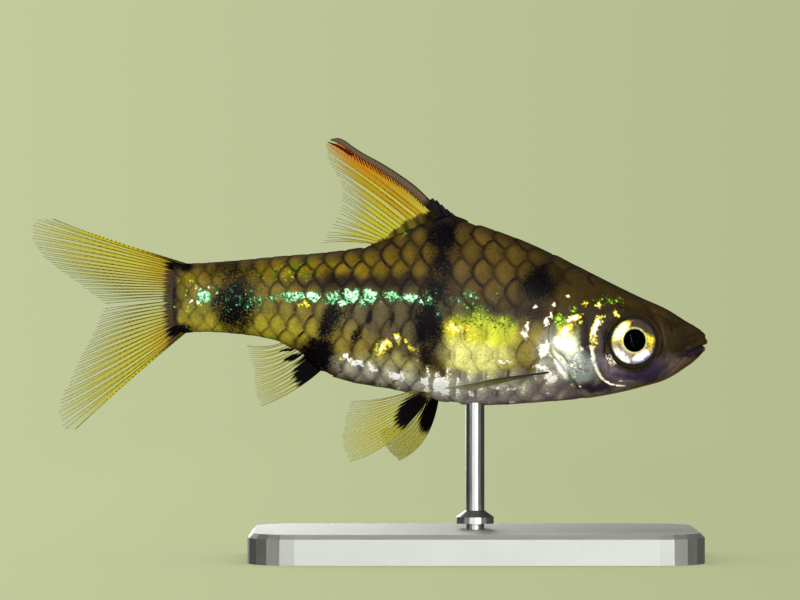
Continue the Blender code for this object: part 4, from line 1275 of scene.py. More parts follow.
# Fins: each guide has its place in the fin, its root, its middle and its tip, as (x, y, z)
DORSAL_GUIDES = (
    (0.00, (-1.05, 0.0, 17.85), (-4.20, 0.05, 20.50), (-7.40, 0.15, 22.30)),
    (0.22, (-2.20, 0.0, 17.80), (-5.50, 0.08, 20.33), (-7.95, 0.20, 22.02)),
    (0.34, (-2.75, 0.0, 17.62), (-5.50, 0.09, 19.80), (-7.78, 0.22, 21.25)),
    (0.48, (-3.35, 0.0, 17.38), (-5.42, 0.10, 18.98), (-7.25, 0.25, 20.25)),
    (0.72, (-4.15, 0.0, 16.98), (-5.75, 0.10, 17.98), (-7.15, 0.25, 18.80)),
    (1.00, (-4.90, 0.0, 16.72), (-6.55, 0.08, 16.92), (-8.12, 0.20, 16.86)),
)
ANAL_GUIDES = (
    (0.00, (-7.90, 0.0, 10.35), (-9.50, -0.05, 9.10), (-11.40, -0.15, 8.14)),
    (0.30, (-8.55, 0.0, 10.80), (-10.20, -0.05, 9.60), (-11.70, -0.20, 8.95)),
    (0.62, (-9.10, 0.0, 11.25), (-10.55, -0.05, 10.35), (-11.80, -0.20, 10.10)),
    (1.00, (-9.75, 0.0, 11.75), (-10.95, -0.05, 11.36), (-12.15, -0.15, 11.40)),
)
CAUDAL_ROOT_X = -15.45
CAUDAL_UPPER_GUIDES = (
    (0.00, (CAUDAL_ROOT_X, 0.0, 15.72), (-19.80, -0.25, 17.12), (-22.45, -0.75, 18.14)),
    (0.05, (CAUDAL_ROOT_X, 0.0, 15.63), (-19.95, -0.27, 17.02), (-23.15, -0.78, 18.10)),
    (0.12, (CAUDAL_ROOT_X, 0.0, 15.50), (-20.00, -0.30, 16.80), (-23.52, -0.85, 17.72)),
    (0.20, (CAUDAL_ROOT_X, 0.0, 15.37), (-20.05, -0.31, 16.50), (-23.56, -0.84, 17.20)),
    (0.40, (CAUDAL_ROOT_X, 0.0, 15.05), (-20.00, -0.35, 15.70), (-22.95, -0.75, 16.15)),
    (0.72, (CAUDAL_ROOT_X, 0.0, 14.50), (-18.95, -0.25, 14.62), (-21.10, -0.50, 14.68)),
    (1.00, (CAUDAL_ROOT_X, 0.0, 13.98), (-17.90, -0.10, 13.78), (-19.70, -0.25, 13.62)),
)
CAUDAL_LOWER_GUIDES = (
    (0.00, (CAUDAL_ROOT_X, 0.0, 13.98), (-17.90, -0.10, 13.74), (-19.70, -0.25, 13.55)),
    (0.28, (CAUDAL_ROOT_X, 0.0, 13.25), (-18.50, -0.20, 12.60), (-20.40, -0.45, 11.90)),
    (0.60, (CAUDAL_ROOT_X, 0.0, 12.75), (-18.95, -0.30, 11.00), (-21.40, -0.70, 9.85)),
    (0.88, (CAUDAL_ROOT_X, 0.0, 12.30), (-18.85, -0.35, 9.70), (-22.08, -0.90, 7.62)),
    (0.95, (CAUDAL_ROOT_X, 0.0, 12.19), (-18.75, -0.32, 9.48), (-21.85, -0.87, 7.06)),
    (1.00, (CAUDAL_ROOT_X, 0.0, 12.12), (-18.60, -0.30, 9.40), (-21.25, -0.85, 6.92)),
)
RIGHT_PELVIC_GUIDES = (
    (0.00, (-2.25, -0.55, 8.85), (-4.45, -1.75, 6.40), (-6.65, -2.55, 5.28)),
    (0.35, (-2.60, -0.80, 8.90), (-4.75, -1.70, 7.15), (-6.98, -2.35, 6.20)),
    (0.70, (-2.90, -1.05, 8.95), (-4.85, -1.60, 7.95), (-6.92, -2.00, 7.40)),
    (1.00, (-3.20, -1.20, 9.05), (-4.85, -1.60, 8.60), (-6.60, -1.75, 8.45)),
)
LEFT_PELVIC_GUIDES = (
    (0.00, (-1.90, 0.55, 8.75), (-2.60, 2.30, 6.45), (-4.05, 3.70, 5.12)),
    (0.35, (-2.20, 0.80, 8.80), (-2.95, 2.25, 6.72), (-4.45, 3.60, 5.50)),
    (0.70, (-2.45, 1.05, 8.85), (-3.30, 2.15, 7.10), (-4.85, 3.30, 6.05)),
    (1.00, (-2.70, 1.20, 8.95), (-3.60, 2.00, 7.55), (-5.15, 2.80, 6.75)),
)
RIGHT_PECTORAL_GUIDES = (
    (0.00, (4.05, -1.60, 10.00), (1.20, -3.45, 9.66), (-1.60, -4.90, 9.22)),
    (0.30, (3.70, -1.55, 9.92), (1.05, -3.00, 9.58), (-1.60, -4.10, 9.16)),
    (0.65, (3.30, -1.50, 9.84), (1.20, -2.55, 9.50), (-0.90, -3.25, 9.10)),
    (1.00, (2.85, -1.45, 9.76), (1.35, -2.15, 9.42), (-0.10, -2.55, 9.06)),
)
LEFT_PECTORAL_GUIDES = tuple(
    (share, *((x, -y, z) for x, y, z in ray)) for share, *ray in RIGHT_PECTORAL_GUIDES
)
DORSAL_SOFT_RAYS = (0.22, 0.34, 0.46, 0.57, 0.68, 0.79, 0.90, 1.0)
SPINE_LINE = (
    (-1.3, 17.75), (-2.4, 18.82), (-3.41, 19.77), (-4.0, 20.21), (-5.07, 20.93), (-6.13, 21.55),
    (-6.67, 21.92), (-7.04, 22.20), (-7.41, 22.34), (-7.70, 22.36),
)
SECOND_TIP = ((-6.45, 21.50), (-6.75, 21.66), (-7.05, 21.86), (-7.45, 22.08), (-7.86, 22.24))
SHORT_RAYS = (
    ((-1.65, 18.00), (-2.33, 19.20)),
    ((-1.45, 17.95), (-2.12, 19.10)),
    ((-1.22, 17.90), (-1.86, 18.86)),
    ((-1.00, 17.85), (-1.58, 18.62)),
    ((-0.80, 17.80), (-1.34, 18.42)),
    ((-0.55, 17.75), (-1.12, 18.24)),
    ((-0.30, 17.72), (-0.92, 18.08)),
)

FIN_YELLOW = tint(178, 168, 12)
FIN_AMBER = tint(164, 132, 0)
FIN_OLIVE = tint(160, 156, 50)
FIN_CLEAR = tint(164, 166, 124)
FIN_ORANGE = tint(186, 104, 0)
FIN_RED = tint(160, 66, 8)
FIN_MAROON = tint(84, 28, 6)
FIN_GREY = tint(132, 134, 94)
LINE_BROWN = tint(64, 50, 4)
LINE_OLIVE = tint(130, 124, 40)
FIN_BRIGHT = tint(192, 182, 36)
SPINE_GREY = tint(88, 72, 54)
SHEATH_OLIVE = tint(92, 80, 24)
SHORT_RAY_DARK = tint(30, 23, 26)
PECTORAL_DARK = tint(52, 44, 42)
PECTORAL_PALE = tint(160, 166, 146)

# For each fin: its guides and rays; where its rays' fibres lie at the root, and the outer and the
# inner ones at the tip, as shares of a ray's room; how thick they are against FIBRE_RADIUS; their
# colour and how strong their dashes are; the colours of the rays' bands and of the gaps between
# them, each as a colour, its cover and its mark over (place in the fin, share along the ray); its
# purple stain and black marks in the side view
CAUDAL_BANDS = (
    (FIN_OLIVE, 0.50, (0.0, 0.3, 1.1, 0.62, 0, 0.4, 1.0)),
    (FIN_YELLOW, 0.87, (-0.1, 0.22, 0.75, 0.50, 0, 0.6, 1.0)),
    (FIN_AMBER, 0.96, (0.0, 0.05, 0.9, 0.20, 0, 0.6, 0.9)),
)
CAUDAL_STAIN = ((-16.10, 13.9, 0.46, 2.6, 0, 0.9, 1.0),)
CAUDAL_GAPS = (
    (FIN_OLIVE, 0.35, (0.0, 0.2, 1.2, 0.55, 0, 0.5, 1.0)),
    (FIN_YELLOW, 0.62, (0.0, 0.05, 1.2, 0.36, 0, 0.6, 1.0)),
    (FIN_AMBER, 0.92, (0.0, 0.0, 1.2, 0.18, 0, 0.6, 0.9)),
)


def from_other_side(washes):
    """Return a fin's washes with their places counted from its other edge."""
    return tuple((colour, cover, (1 - mark[0], *mark[1:])) for colour, cover, mark in washes)


CAUDAL = {
    "opens": (0.50, 0.76, 0.30), "fibre": 1.0, "line": LINE_BROWN, "dash": 0.7, "stain": CAUDAL_STAIN,
}
LOW_FIN = {"fibre": 0.85, "line": LINE_OLIVE, "dash": 0.0, "stain": (), "gaps": ()}
PELVIC = {**LOW_FIN, "rays": np.linspace(0.04, 1, 9), "opens": (0.45, 0.80, 0.28)}
PECTORAL = {
    **LOW_FIN, "rays": np.linspace(0.03, 1, 12), "opens": (0.4, 0.6, 0.2), "fibre": 0.35,
    "bands": (), "black": ((3.45, 9.95, 0.45, 0.12, 0, 0.6, 0.9),),
}
FINS = {
    "dorsal_fin": {
        "guides": DORSAL_GUIDES, "rays": DORSAL_SOFT_RAYS, "opens": (0.48, 0.80, 0.35),
        "fibre": 0.95, "line": LINE_BROWN, "dash": 0.6, "stain": (),
        "bands": (
            (FIN_OLIVE, 0.70, (0.6, 0.3, 0.9, 0.45, 0, 0.5, 1.0)),
            (FIN_YELLOW, 0.90, (0.55, 0.2, 0.6, 0.38, 0, 0.6, 1.0)),
            (FIN_AMBER, 0.94, (0.25, 0.45, 0.20, 0.50, 0, 0.6, 1.0)),
            (FIN_ORANGE, 0.97, (0.08, 0.70, 0.13, 0.40, 0, 0.6, 1.0)),
            (FIN_RED, 0.97, (0.03, 0.88, 0.12, 0.12, 0, 0.7, 0.9)),
        ),
        "gaps": (
            (FIN_YELLOW, 0.70, (0.6, 0.0, 0.9, 0.38, 0, 0.6, 1.0)),
            (FIN_YELLOW, 0.60, (0.32, 0.3, 0.20, 0.40, 0, 0.5, 1.0)),
            (FIN_BRIGHT, 0.80, (0.12, 0.25, 0.20, 0.45, 0, 0.5, 1.0)),
            (FIN_AMBER, 0.94, (0.10, 0.55, 0.14, 0.45, 0, 0.6, 1.0)),
            (FIN_ORANGE, 0.96, (0.04, 0.78, 0.13, 0.36, 0, 0.6, 1.0)),
            (FIN_RED, 0.96, (0.03, 0.85, 0.09, 0.14, 0, 0.7, 0.8)),
        ),
        "black": ((-1.9, 18.15, 0.9, 0.6, 40, 0.6, 1.0),),
    },
    "anal_fin": {
        **LOW_FIN, "guides": ANAL_GUIDES, "rays": np.linspace(0.03, 1, 8),
        "opens": (0.40, 0.78, 0.28),
        "bands": ((FIN_OLIVE, 0.45, (0.4, 0.4, 0.9, 0.6, 0, 0.5, 1.0)),),
        "black": (
            (-8.85, 10.10, 1.00, 0.70, 52, 0.6, 1.0), (-9.70, 10.75, 0.50, 0.14, 22, 0.8, 1.0),
            (-10.0, 11.15, 0.40, 0.08, 8, 0.8, 0.95), (-8.30, 10.0, 0.8, 0.70, 50, 0.5, 1.0),
        ),
    },
    "caudal_fin_upper": {
        **CAUDAL, "guides": CAUDAL_UPPER_GUIDES, "rays": np.linspace(0.02, 0.98, 10),
        "bands": CAUDAL_BANDS, "gaps": CAUDAL_GAPS,
        "black": ((-15.95, 15.62, 0.55, 0.28, -14, 0.8, 1.0),),
    },
    "caudal_fin_lower": {
        **CAUDAL, "guides": CAUDAL_LOWER_GUIDES, "rays": np.linspace(0.08, 0.98, 9),
        "bands": from_other_side(CAUDAL_BANDS), "gaps": from_other_side(CAUDAL_GAPS),
        "black": ((-15.95, 12.20, 0.50, 0.30, 30, 0.8, 1.0),),
    },
    "pelvic_fin_right": {
        **PELVIC, "guides": RIGHT_PELVIC_GUIDES,
        "bands": ((FIN_YELLOW, 0.66, (0.3, 0.45, 0.7, 0.50, 0, 0.7, 1.0)),),
        "black": ((-3.35, 7.95, 1.15, 0.66, 48, 0.5, 1.0),),
    },
    "pelvic_fin_left": {
        **PELVIC, "guides": LEFT_PELVIC_GUIDES,
        # Painted light: the far fin's band takes the brighter yellow, as the lamps light it less than
        # the near one
        "bands": ((FIN_BRIGHT, 0.85, (0.4, 0.5, 0.9, 0.60, 0, 0.6, 1.0)),),
        "black": ((-2.35, 7.65, 1.05, 0.52, 68, 0.5, 1.0),),
    },
    "pectoral_fin_right": {**PECTORAL, "guides": RIGHT_PECTORAL_GUIDES},
    "pectoral_fin_left": {**PECTORAL, "guides": LEFT_PECTORAL_GUIDES},
}
WEB_ROWS = 72
WEB_COLUMNS = 13
EDGE_ROWS = 260
EDGE_SIDES = 10
EDGE_JOINTS = 34
SPINE_STEP = 0.04
SPINE_RADIUS = 0.215
SPINE_NARROWS = 0.085
SPINE_LEAN = 0.15
SPINE_SIDES = 20
SPINE_RINGS = 46
SECOND_TIP_RADIUS = 0.085
SAW_TEETH = 27
SAW_REACH = (0.25, 0.88)
SAW_LENGTH = 0.50
SAW_STEPS = 6
SAW_RADII = (0.036, 0.020)
SHORT_RAY_STEPS = 24
SHORT_RAY_SIDES = 12
SHORT_RAY_RADIUS = 0.150
FIBRES_PER_RAY = 4
FIBRE_ROWS = 100
FIBRE_SIDES = 6
FIBRE_RADIUS = 0.025
WEB_HALF = 0.010
BAND_HALF = 0.012
SHEATH_HEIGHT = 0.52
SHEATH_HALF = 0.10
SHEATH_COVER = 0.995
CLEAR_COVER = 0.08
BAND_COVER = 0.14
JOINTS = 22


def fin_surface(guides):
    """Return the middle surface of a fin, from the place in it and the share along its rays."""
    parts = [
        [curve_through([(guide[0], guide[part][axis]) for guide in guides]) for axis in range(3)]
        for part in (1, 2, 3)
    ]

    def middle(share, along):
        along = np.asarray(along)[..., None]
        root, bend, tip = (np.stack([curve(share) for curve in part], axis=-1) for part in parts)
        pull = 2 * bend - (root + tip) / 2
        rest = 1 - along
        return rest * rest * root + 2 * rest * along * pull + along * along * tip

    return middle


def fin_normal(middle, share, along):
    """Return the normals of a fin's middle surface, from small steps to both sides."""
    small = 0.01
    low, high = np.clip(share - small, 0, 1), np.clip(share + small, 0, 1)
    across = middle(high, along) - middle(low, along)
    start, end = np.clip(along - small, 0, 1), np.clip(along + small, 0, 1)
    return unit(np.cross(across, middle(share, end) - middle(share, start)))


def ray_room(rays):
    """Return half of the room that each ray has in its fin."""
    rays = np.array(rays)
    gaps = np.diff(rays)
    return np.minimum(np.concatenate((gaps[:1], gaps)), np.concatenate((gaps, gaps[-1:]))) / 2


def opened(along, open_root, open_tip):
    """Return how far a ray's branch lies from its middle, as a share of its room."""
    return open_root + (open_tip - open_root) * ease(0.10, 0.95, along)


def fin_wash(washes, cover, share, along):
    """Return the colour and cover of a fin's bands or gaps."""
    colour = np.broadcast_to(FIN_CLEAR, (*np.shape(share), 3)).copy()
    cover = np.full(np.shape(share), cover)
    for wash, wash_cover, mark in washes:
        part = blob(mark, share, along)
        colour = laid_over(colour, wash, part)
        cover = blend(cover, wash_cover, part)
    return colour, cover


def feathered(marks, share, x, z):
    """Return how much marks cover a fin, with feathered ends that differ from ray to ray."""
    if not marks:
        return np.zeros(np.shape(x))
    feather = 0.16 * np.sin(share * 61.0) + 0.12 * np.sin(share * 143.0 + 1.0)
    return ease(0.30, 0.62, covered(marks, x, z) + feather)


def darkened(plan, colour, share, x, z):
    """Return a fin's colour with its purple stain and black marks, and how much these cover."""
    stain = 0.92 * feathered(plan["stain"], share, x, z)
    black = feathered(plan["black"], share, x, z)
    colour = laid_over(laid_over(colour, TAIL_PURPLE, stain), BLACK, black)
    return colour, np.maximum(stain, black)


def fin_paint(plan, share, along, x, z, band):
    """Return a fin's colour and how much it covers what is behind it."""
    band_colour, band_cover = fin_wash(plan["bands"], BAND_COVER, share, along)
    gap_colour, gap_cover = fin_wash(plan["gaps"], CLEAR_COVER, share, along)
    colour = laid_over(gap_colour, band_colour, band)
    cover = blend(gap_cover, band_cover, band)
    colour, dark = darkened(plan, colour, share, x, z)
    return colour, cover * (1 - dark) + dark


def dorsal_sheath(x, z):
    """Return how much the scaly sheath covers the dorsal fin's foot, and its colour."""
    over = z - top_at(x) + 0.06 * np.sin(x * 9) + 0.03 * np.sin(x * 31)
    sheath = ease(0.06, -0.06, over - SHEATH_HEIGHT * ease(-5.5, -3.3, x))
    scaled = 1 - 0.65 * ease(0.6, 1.0, np.abs(np.sin(x * TURN / 1.5 + z * 2.2)))
    return sheath, SHEATH_OLIVE * (scaled * (1 - 0.9 * ease(-3.2, -2.5, x)))[..., None]


def make_web(name, plan, finish):
    """Make a fin's thin membrane, thicker along its rays, as one closed sheet."""
    middle = fin_surface(plan["guides"])
    rays = np.array(plan["rays"])
    room = ray_room(rays)
    columns = (len(rays) + 1) * WEB_COLUMNS
    evenly = (np.linspace(0, 1, count) for count in (columns, WEB_ROWS))
    shares, alongs = np.meshgrid(*evenly, indexing="ij")
    off = np.abs(shares[..., None] - rays) / room
    nearest = off.argmin(axis=-1)
    off = np.take_along_axis(off, nearest[..., None], axis=-1)[..., 0]
    reach = 1 - 0.035 * ease(0.4, 1.0, off)
    alongs = alongs * reach
    width = opened(alongs, 0.75, plan["opens"][1])
    band = 1 - ease(0.90, 1.10, off / width)
    round_band = np.sqrt(np.clip(1 - (off / width) ** 2, 0, 1))
    thick = WEB_HALF + BAND_HALF * round_band * (1 - 0.75 * alongs)
    thick = thick * (1 - 0.5 * ease(0.93, 1.0, alongs))
    point = middle(shares, alongs)
    normal = fin_normal(middle, shares, alongs)
    x, z = point[..., 0], point[..., 2]
    colour, cover = fin_paint(plan, shares, alongs, x, z, band)
    if name == "dorsal_fin":
        sheath, shade = dorsal_sheath(x, z)
        colour = laid_over(colour, shade, sheath)
        cover = blend(cover, SHEATH_COVER, sheath)
        thick = thick + SHEATH_HALF * sheath
    near = point + normal * thick[..., None]
    far = point - normal * thick[..., None]
    count = columns * WEB_ROWS
    top = grid_faces(columns, WEB_ROWS)
    edge = np.concatenate((
        np.arange(columns) * WEB_ROWS,
        (columns - 1) * WEB_ROWS + np.arange(1, WEB_ROWS),
        np.arange(columns - 2, -1, -1) * WEB_ROWS + WEB_ROWS - 1,
        np.arange(WEB_ROWS - 2, 0, -1),
    ))
    after = np.roll(edge, -1)
    sides = np.stack((edge, after, after + count, edge + count), axis=1)
    quads = np.concatenate((top, top[:, ::-1] + count, sides[:, ::-1]))
    made = piece(
        f"{name}_web", finish, np.concatenate((near.reshape(-1, 3), far.reshape(-1, 3))), quads, None,
        {
            "paint": np.concatenate([colour.reshape(-1, 3)] * 2),
            "cover": np.concatenate([1 - np.sqrt(1 - cover.ravel())] * 2),
        },
    )
    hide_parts(name)


def make_tubes(name, paths, radii, colours, finish, sides=FIBRE_SIDES, flat=1.0):
    """Make many thin closed tubes along paths, as one piece."""
    count, length = radii.shape
    along = unit(np.gradient(paths, axis=1))
    across = unit(np.cross(along, (0.0, 1.0, 0.0)))
    out = np.cross(along, across)
    turns = TURN * np.arange(sides) / sides
    ring = (
        np.cos(turns)[None, None, :, None] * across[:, :, None, :]
        + flat * np.sin(turns)[None, None, :, None] * out[:, :, None, :]
    )
    points = paths[:, :, None, :] + radii[:, :, None, None] * ring
    points = points.reshape(count, -1, 3)
    ends = paths[:, (0, -1), :]
    points = np.concatenate((points, ends), axis=1)
    quads = grid_faces(length, sides, wrap=True)
    size = length * sides + 2
    triangles = np.concatenate((
        cap_faces(sides, size - 2, 0, flipped=True),
        cap_faces(sides, size - 1, (length - 1) * sides),
    ))
    painted = np.concatenate((np.repeat(colours, sides, axis=1), colours[:, (0, -1), :]), axis=1)
    made = piece(
        name, finish, points.reshape(-1, 3), repeated(quads, count, size),
        repeated(triangles, count, size), {"paint": painted.reshape(-1, 3)},
    )


def make_fibres(name, plan, finish, seed):
    """Make a fin's branching rays, each as thin jointed fibres that part towards its edge."""
    random = np.random.default_rng(seed)
    middle = fin_surface(plan["guides"])
    rays = np.array(plan["rays"])
    along = np.linspace(0, 1, FIBRE_ROWS)[None, :]
    open_root, open_outer, open_inner = plan["opens"]
    shares = []
    for place, half in zip(rays, ray_room(rays)):
        for side in (-1, 1):
            for open_tip in (open_outer, open_inner):
                shares.append(place + side * half * opened(along, open_root, open_tip))
    shares = np.clip(np.concatenate(shares), 0, 1)
    count = len(shares)
    reach = random.uniform(0.975, 1.01, (count, 1))
    alongs = along * reach
    paths = middle(shares, alongs)
    start = np.repeat(random.uniform(0, TURN, len(rays)), FIBRES_PER_RAY)[:, None]
    joint = (0.5 + 0.5 * np.cos(alongs * TURN * JOINTS + start)) ** 2 * ease(0.25, 0.5, alongs)
    radii = FIBRE_RADIUS * plan["fibre"] * (1 - 0.45 * alongs) * (1 - 0.15 * joint)
    band, _ = fin_wash(plan["bands"], BAND_COVER, shares, alongs)
    tip = ease(0.45, 1.0, alongs)[..., None]
    tip_grey = FIN_GREY * (1.05 - 0.35 * plan["dash"])
    colour = blend(plan["line"] * 0.72 + band * 0.08, tip_grey, tip)
    waves = random.uniform(3, 6, (count, 1))
    dash = ease(0.6, 0.95, np.sin(alongs * TURN * waves + random.uniform(0, TURN, (count, 1))))
    dash = dash * random.uniform(0, plan["dash"], (count, 1)) * ease(0.35, 0.6, alongs)
    colour = colour * (1 + 0.4 * plan["dash"] * joint[..., None]) * (1 - dash[..., None])
    colour, _ = darkened(plan, colour, shares, paths[..., 0], paths[..., 2])
    make_tubes(f"{name}_rays", paths, radii, colour, finish)


def make_leading_edge(name, guides, share, thick, colours, finish):
    """Make a fin's jointed outermost ray, in its first colour with beads of the second.

    Towards its tip the ray takes on the third colour.
    """
    middle = fin_surface(guides)
    along = np.linspace(0, 0.99, EDGE_ROWS)
    path = middle(np.full(along.shape, share), along)[None]
    joint = 0.5 + 0.5 * np.cos(along * TURN * EDGE_JOINTS)
    radius = thick * (1 - 0.75 * along) * (1 - 0.12 * joint)
    bead = (ease(0.1, 0.3, along) * (1 - joint ** 4))[:, None]
    far = ease(0.55, 0.95, along)[:, None]
    first, second, third = colours
    colour = blend(blend(first, second, bead), third, far)
    make_tubes(f"{name}_edge", path, radius[None], colour[None], finish, EDGE_SIDES)


def make_dorsal_spine(finish):
    """Make the saw-edged spine of the dorsal fin and the short rays before it."""
    line = resampled(SPINE_LINE, SPINE_STEP)
    share = np.linspace(0, 1, len(line))
    path = np.stack((line[:, 0], SPINE_LEAN * share, line[:, 1]), axis=1)[None]
    radii = SPINE_RADIUS - SPINE_NARROWS * ease(0.3, 1.0, share)
    radii = radii * (1 - 0.55 * ease(0.95, 1.0, share))
    ringed = 1 + 0.10 * np.cos(share * TURN * SPINE_RINGS)
    base = 0.10 + 0.90 * ease(0.20, 0.27, share)
    colour = SPINE_GREY * (base * ringed)[:, None]
    make_tubes("dorsal_spine", path, radii[None], colour[None], finish, SPINE_SIDES, flat=0.7)
    top = path + np.array((0.09, -0.02, 0.15)) * (radii / radii[0])[None, :, None]
    shade = np.broadcast_to(BLACK * 2, path.shape)
    make_tubes("dorsal_spine_top", top, radii[None] * 0.32, shade, finish)

    teeth = []
    shades = []
    steps = np.linspace(0, 1, SAW_STEPS)[:, None]
    for place in np.linspace(*SAW_REACH, SAW_TEETH):
        i = int(place * (len(line) - 1))
        way = unit(line[i + 1] - line[i - 1])
        down = np.array((-way[1], way[0]))
        long = SAW_LENGTH * (0.5 + 0.5 * ease(0.35, 0.65, place))
        start = line[i] + down * radii[i] * 0.7
        end = start + (down * 0.55 - way * 0.80) * long
        flat = start + (end - start) * steps
        side = np.full(SAW_STEPS, SPINE_LEAN * place - 0.04)
        teeth.append(np.column_stack((flat[:, 0], side, flat[:, 1])))
        shade = blend(LINE_BROWN, FIN_MAROON, ease(0.30, 0.55, place))
        shades.append(np.broadcast_to(shade, (SAW_STEPS, 3)))
    teeth = np.array(teeth)
    thick = np.broadcast_to(np.linspace(*SAW_RADII, SAW_STEPS), teeth.shape[:2])
    make_tubes("dorsal_saw", teeth, thick, np.array(shades), finish)

    second = resampled(SECOND_TIP, SPINE_STEP)
    share = np.linspace(0, 1, len(second))
    second = np.stack((second[:, 0], 0.12 + 0 * share, second[:, 1]), axis=1)[None]
    radii = SECOND_TIP_RADIUS * (1 - 0.70 * share ** 2) * ease(-0.1, 0.2, share)
    shade = np.broadcast_to(FIN_MAROON * 0.5, second.shape)
    make_tubes("dorsal_second_tip", second, radii[None], shade, finish)

    steps = np.linspace(0, 1, SHORT_RAY_STEPS)
    short = []
    for (root_x, root_z), (tip_x, tip_z) in SHORT_RAYS:
        ray = (root_x + (tip_x - root_x) * steps, 0 * steps, root_z + (tip_z - root_z) * steps)
        short.append(np.column_stack(ray))
    short = np.array(short)
    thick = np.broadcast_to(SHORT_RAY_RADIUS - 0.05 * steps ** 4, short.shape[:2])
    streaks = np.where(np.arange(len(short)) % 2 == 0, 1.0, 0.45)[:, None, None]
    shades = SHORT_RAY_DARK * streaks * np.broadcast_to(ease(-0.2, 0.8, steps)[:, None], short.shape)
    make_tubes("dorsal_short_rays", short, thick, shades, finish, SHORT_RAY_SIDES)


def fin_material(name, see_through):
    """Make the finish of a fin's membrane or of its rays."""
    made, tree, shader = nodes_of(name)
    base = attribute(tree, "paint").outputs["Color"]
    fine = noise(tree, 8000, 2)
    shade = number(tree, "MULTIPLY_ADD", fine, 0.24, 0.88)
    tree.links.new(shaded(tree, base, shade), shader.inputs["Base Color"])
    set_values(shader, Roughness=0.5, Specular_IOR_Level=0.01)
    if see_through:
        tree.links.new(attribute(tree, "cover").outputs["Fac"], shader.inputs["Alpha"])
    return made


def make_fins():
    """Make all fins, each as a membrane with its rays."""
    web = fin_material("fin_web", True)
    ray = fin_material("fin_ray", False)
    for seed, (name, plan) in enumerate(FINS.items()):
        make_web(name, plan, web)
        make_fibres(name, plan, ray, seed)
    make_dorsal_spine(ray)
    beaded = (LINE_BROWN, FIN_YELLOW, FIN_GREY)
    plain = (PECTORAL_DARK, PECTORAL_DARK, PECTORAL_PALE)
    for name, guides, share, thick, colours in (
        ("caudal_upper", CAUDAL_UPPER_GUIDES, 0.0, 0.075, beaded),
        ("caudal_lower", CAUDAL_LOWER_GUIDES, 1.0, 0.075, beaded),
        ("pectoral_right", RIGHT_PECTORAL_GUIDES, 0.0, 0.055, plain),
        ("pectoral_left", LEFT_PECTORAL_GUIDES, 0.0, 0.055, plain),
    ):
        make_leading_edge(name, guides, share, thick, colours, ray)


# Stand
def stand_metals():
    """Give the stand's plate and rod their satin and brushed metal."""
    for node, colour, roughness, stretch in (
        ("stand_base", tint(176, 178, 172), 0.60, (1, 14, 1)),
        ("stand_rod", tint(160, 162, 160), 0.40, (14, 14, 1)),
    ):
        made, tree, shader = nodes_of(f"{node}_metal")
        place = add(tree, "ShaderNodeTexCoord").outputs["Object"]
        stretched = add(tree, "ShaderNodeMapping", None, Vector=place, Scale=stretch).outputs[0]
        grain = add(tree, "ShaderNodeTexNoise", None, Vector=stretched, Scale=900, Detail=4).outputs[0]
        shade = mixed(tree, grain, colour4(colour * 0.8), colour4(colour * 1.1))
        tree.links.new(shade, shader.inputs["Base Color"])
        rough = number(tree, "MULTIPLY_ADD", grain, 0.2, roughness - 0.1)
        tree.links.new(rough, shader.inputs["Roughness"])
        roughen(tree, shader, 0.15, METAL_BUMP, grain)
        set_values(shader, Metallic=1.0)
        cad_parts[node].material_slots[0].material = made


# Camera, floor and light
PALE_LEFT = tint(194, 202, 156)
PALE_RIGHT = tint(180, 187, 143)
DIM = tint(62, 66, 52)
FLOOR_RADIUS = 260
FLOOR_SIDES = 96
AIM_AT = (-1, 0, 12)


def aim(thing, place, target):
    """Put a camera or lamp at a place, turned to a target."""
    start = Vector(place) * MM
    end = Vector(target) * MM
    thing.location = start
    thing.rotation_euler = (end - start).to_track_quat("-Z", "Y").to_euler()


def make_camera():
    """Set the camera level before the fish, with the photo's framing."""
    data = bpy.data.cameras.new("camera")
    data.lens = LENS
    data.sensor_width = SENSOR
    data.clip_start = 0.01
    data.clip_end = 10.0
    made = bpy.data.objects.new("camera", data)
    bpy.context.scene.collection.objects.link(made)
    distance = PHOTO_WIDTH / PIXELS_PER_MM / SENSOR * LENS
    aim(made, (VIEW_X, -distance, VIEW_Z), (VIEW_X, 0, VIEW_Z))
    bpy.context.scene.camera = made


def surroundings(tree, kind, middle, width):
    """Return the surroundings' colour, pale with a slow change along X, and dim in reflections."""
    place = add(tree, "ShaderNodeTexCoord").outputs[kind]
    place_x = add(tree, "ShaderNodeSeparateXYZ", None, Vector=place).outputs[0]
    across = number(tree, "MULTIPLY_ADD", place_x, 1 / width, 0.5 - middle / width)
    pale = mixed(tree, across, colour4(PALE_LEFT), colour4(PALE_RIGHT))
    seen = add(tree, "ShaderNodeLightPath").outputs["Is Camera Ray"]
    return mixed(tree, seen, colour4(DIM), pale)


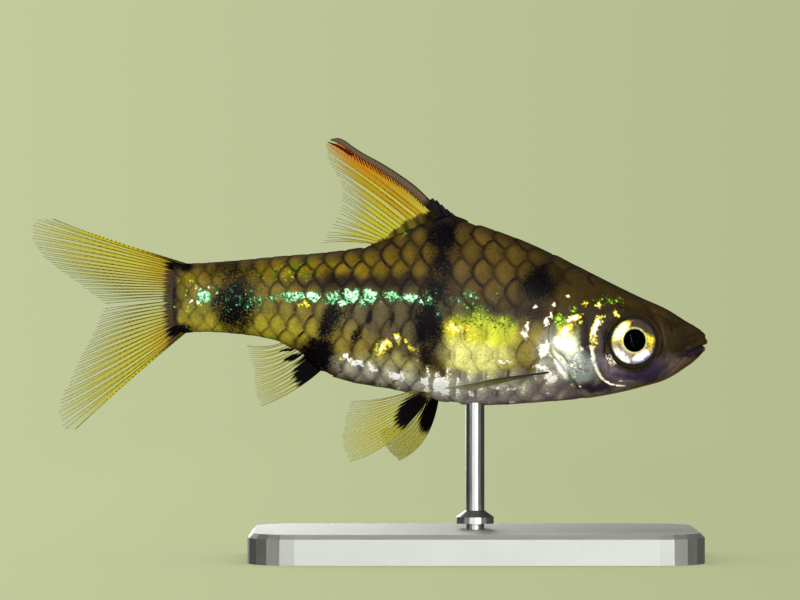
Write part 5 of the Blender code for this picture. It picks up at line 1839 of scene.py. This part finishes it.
def make_floor():
    """Make a round pale floor, with a soft shadow by the stand, that fades into the surroundings."""
    made, tree, shader = nodes_of("floor")
    tree.nodes.remove(shader)
    place = add(tree, "ShaderNodeTexCoord").outputs["Object"]
    away = add(tree, "ShaderNodeVectorMath", {"operation": "LENGTH"}, _0=place).outputs["Value"]
    open_sky = add(tree, "ShaderNodeAmbientOcclusion", {"samples": 8}, Distance=0.012).outputs["AO"]
    light = number(tree, "MULTIPLY_ADD", open_sky, 0.5, 0.5)
    pale = surroundings(tree, "Object", VIEW_X * MM, PHOTO_WIDTH / PIXELS_PER_MM * MM)
    glow = add(tree, "ShaderNodeEmission", None, Color=pale, Strength=light)
    clear = add(tree, "ShaderNodeBsdfTransparent")
    mix_surfaces(tree, between(tree, away, 60 * MM, 240 * MM), glow, clear)
    turns = TURN * np.arange(FLOOR_SIDES) / FLOOR_SIDES
    rim = FLOOR_RADIUS * np.stack((np.cos(turns), np.sin(turns), 0 * turns), axis=1)
    mesh = bpy.data.meshes.new("floor")
    mesh.from_pydata((rim * MM).tolist(), [], [list(range(FLOOR_SIDES))])
    floor = bpy.data.objects.new("floor", mesh)
    floor.data.materials.append(made)
    bpy.context.scene.collection.objects.link(floor)


def make_light():
    """Light the fish from before, above and behind with soft round lamps."""
    world = bpy.data.worlds.new("surroundings")
    world.use_nodes = True
    tree = world.node_tree
    pale = surroundings(tree, "Generated", 0.0, SENSOR / LENS)
    tree.links.new(pale, tree.nodes["Background"].inputs["Color"])
    bpy.context.scene.world = world
    # Each lamp's name, place, size and power in watts
    lamps = (
        ("key", (60, -235, 85), 160, 0.50),
        ("fill", (-100, -225, 14), 150, 0.36),
        ("low", (60, -200, 6), 110, 0.25),
        ("top", (-20, 30, 240), 120, 0.12),
        ("far", (-70, 240, 50), 150, 0.40),
    )
    for name, place, size, power in lamps:
        data = bpy.data.lights.new(name, "AREA")
        data.shape = "DISK"
        data.size = size * MM
        data.energy = power
        made = bpy.data.objects.new(name, data)
        bpy.context.scene.collection.objects.link(made)
        aim(made, place, AIM_AT)


make_camera()
make_floor()
make_light()
bpy.context.scene.view_settings.view_transform = "Standard"
skin_finish = skin_material()
make_skin(skin_finish)
make_coat(skin_finish)
make_eyes()
make_fins()
stand_metals()
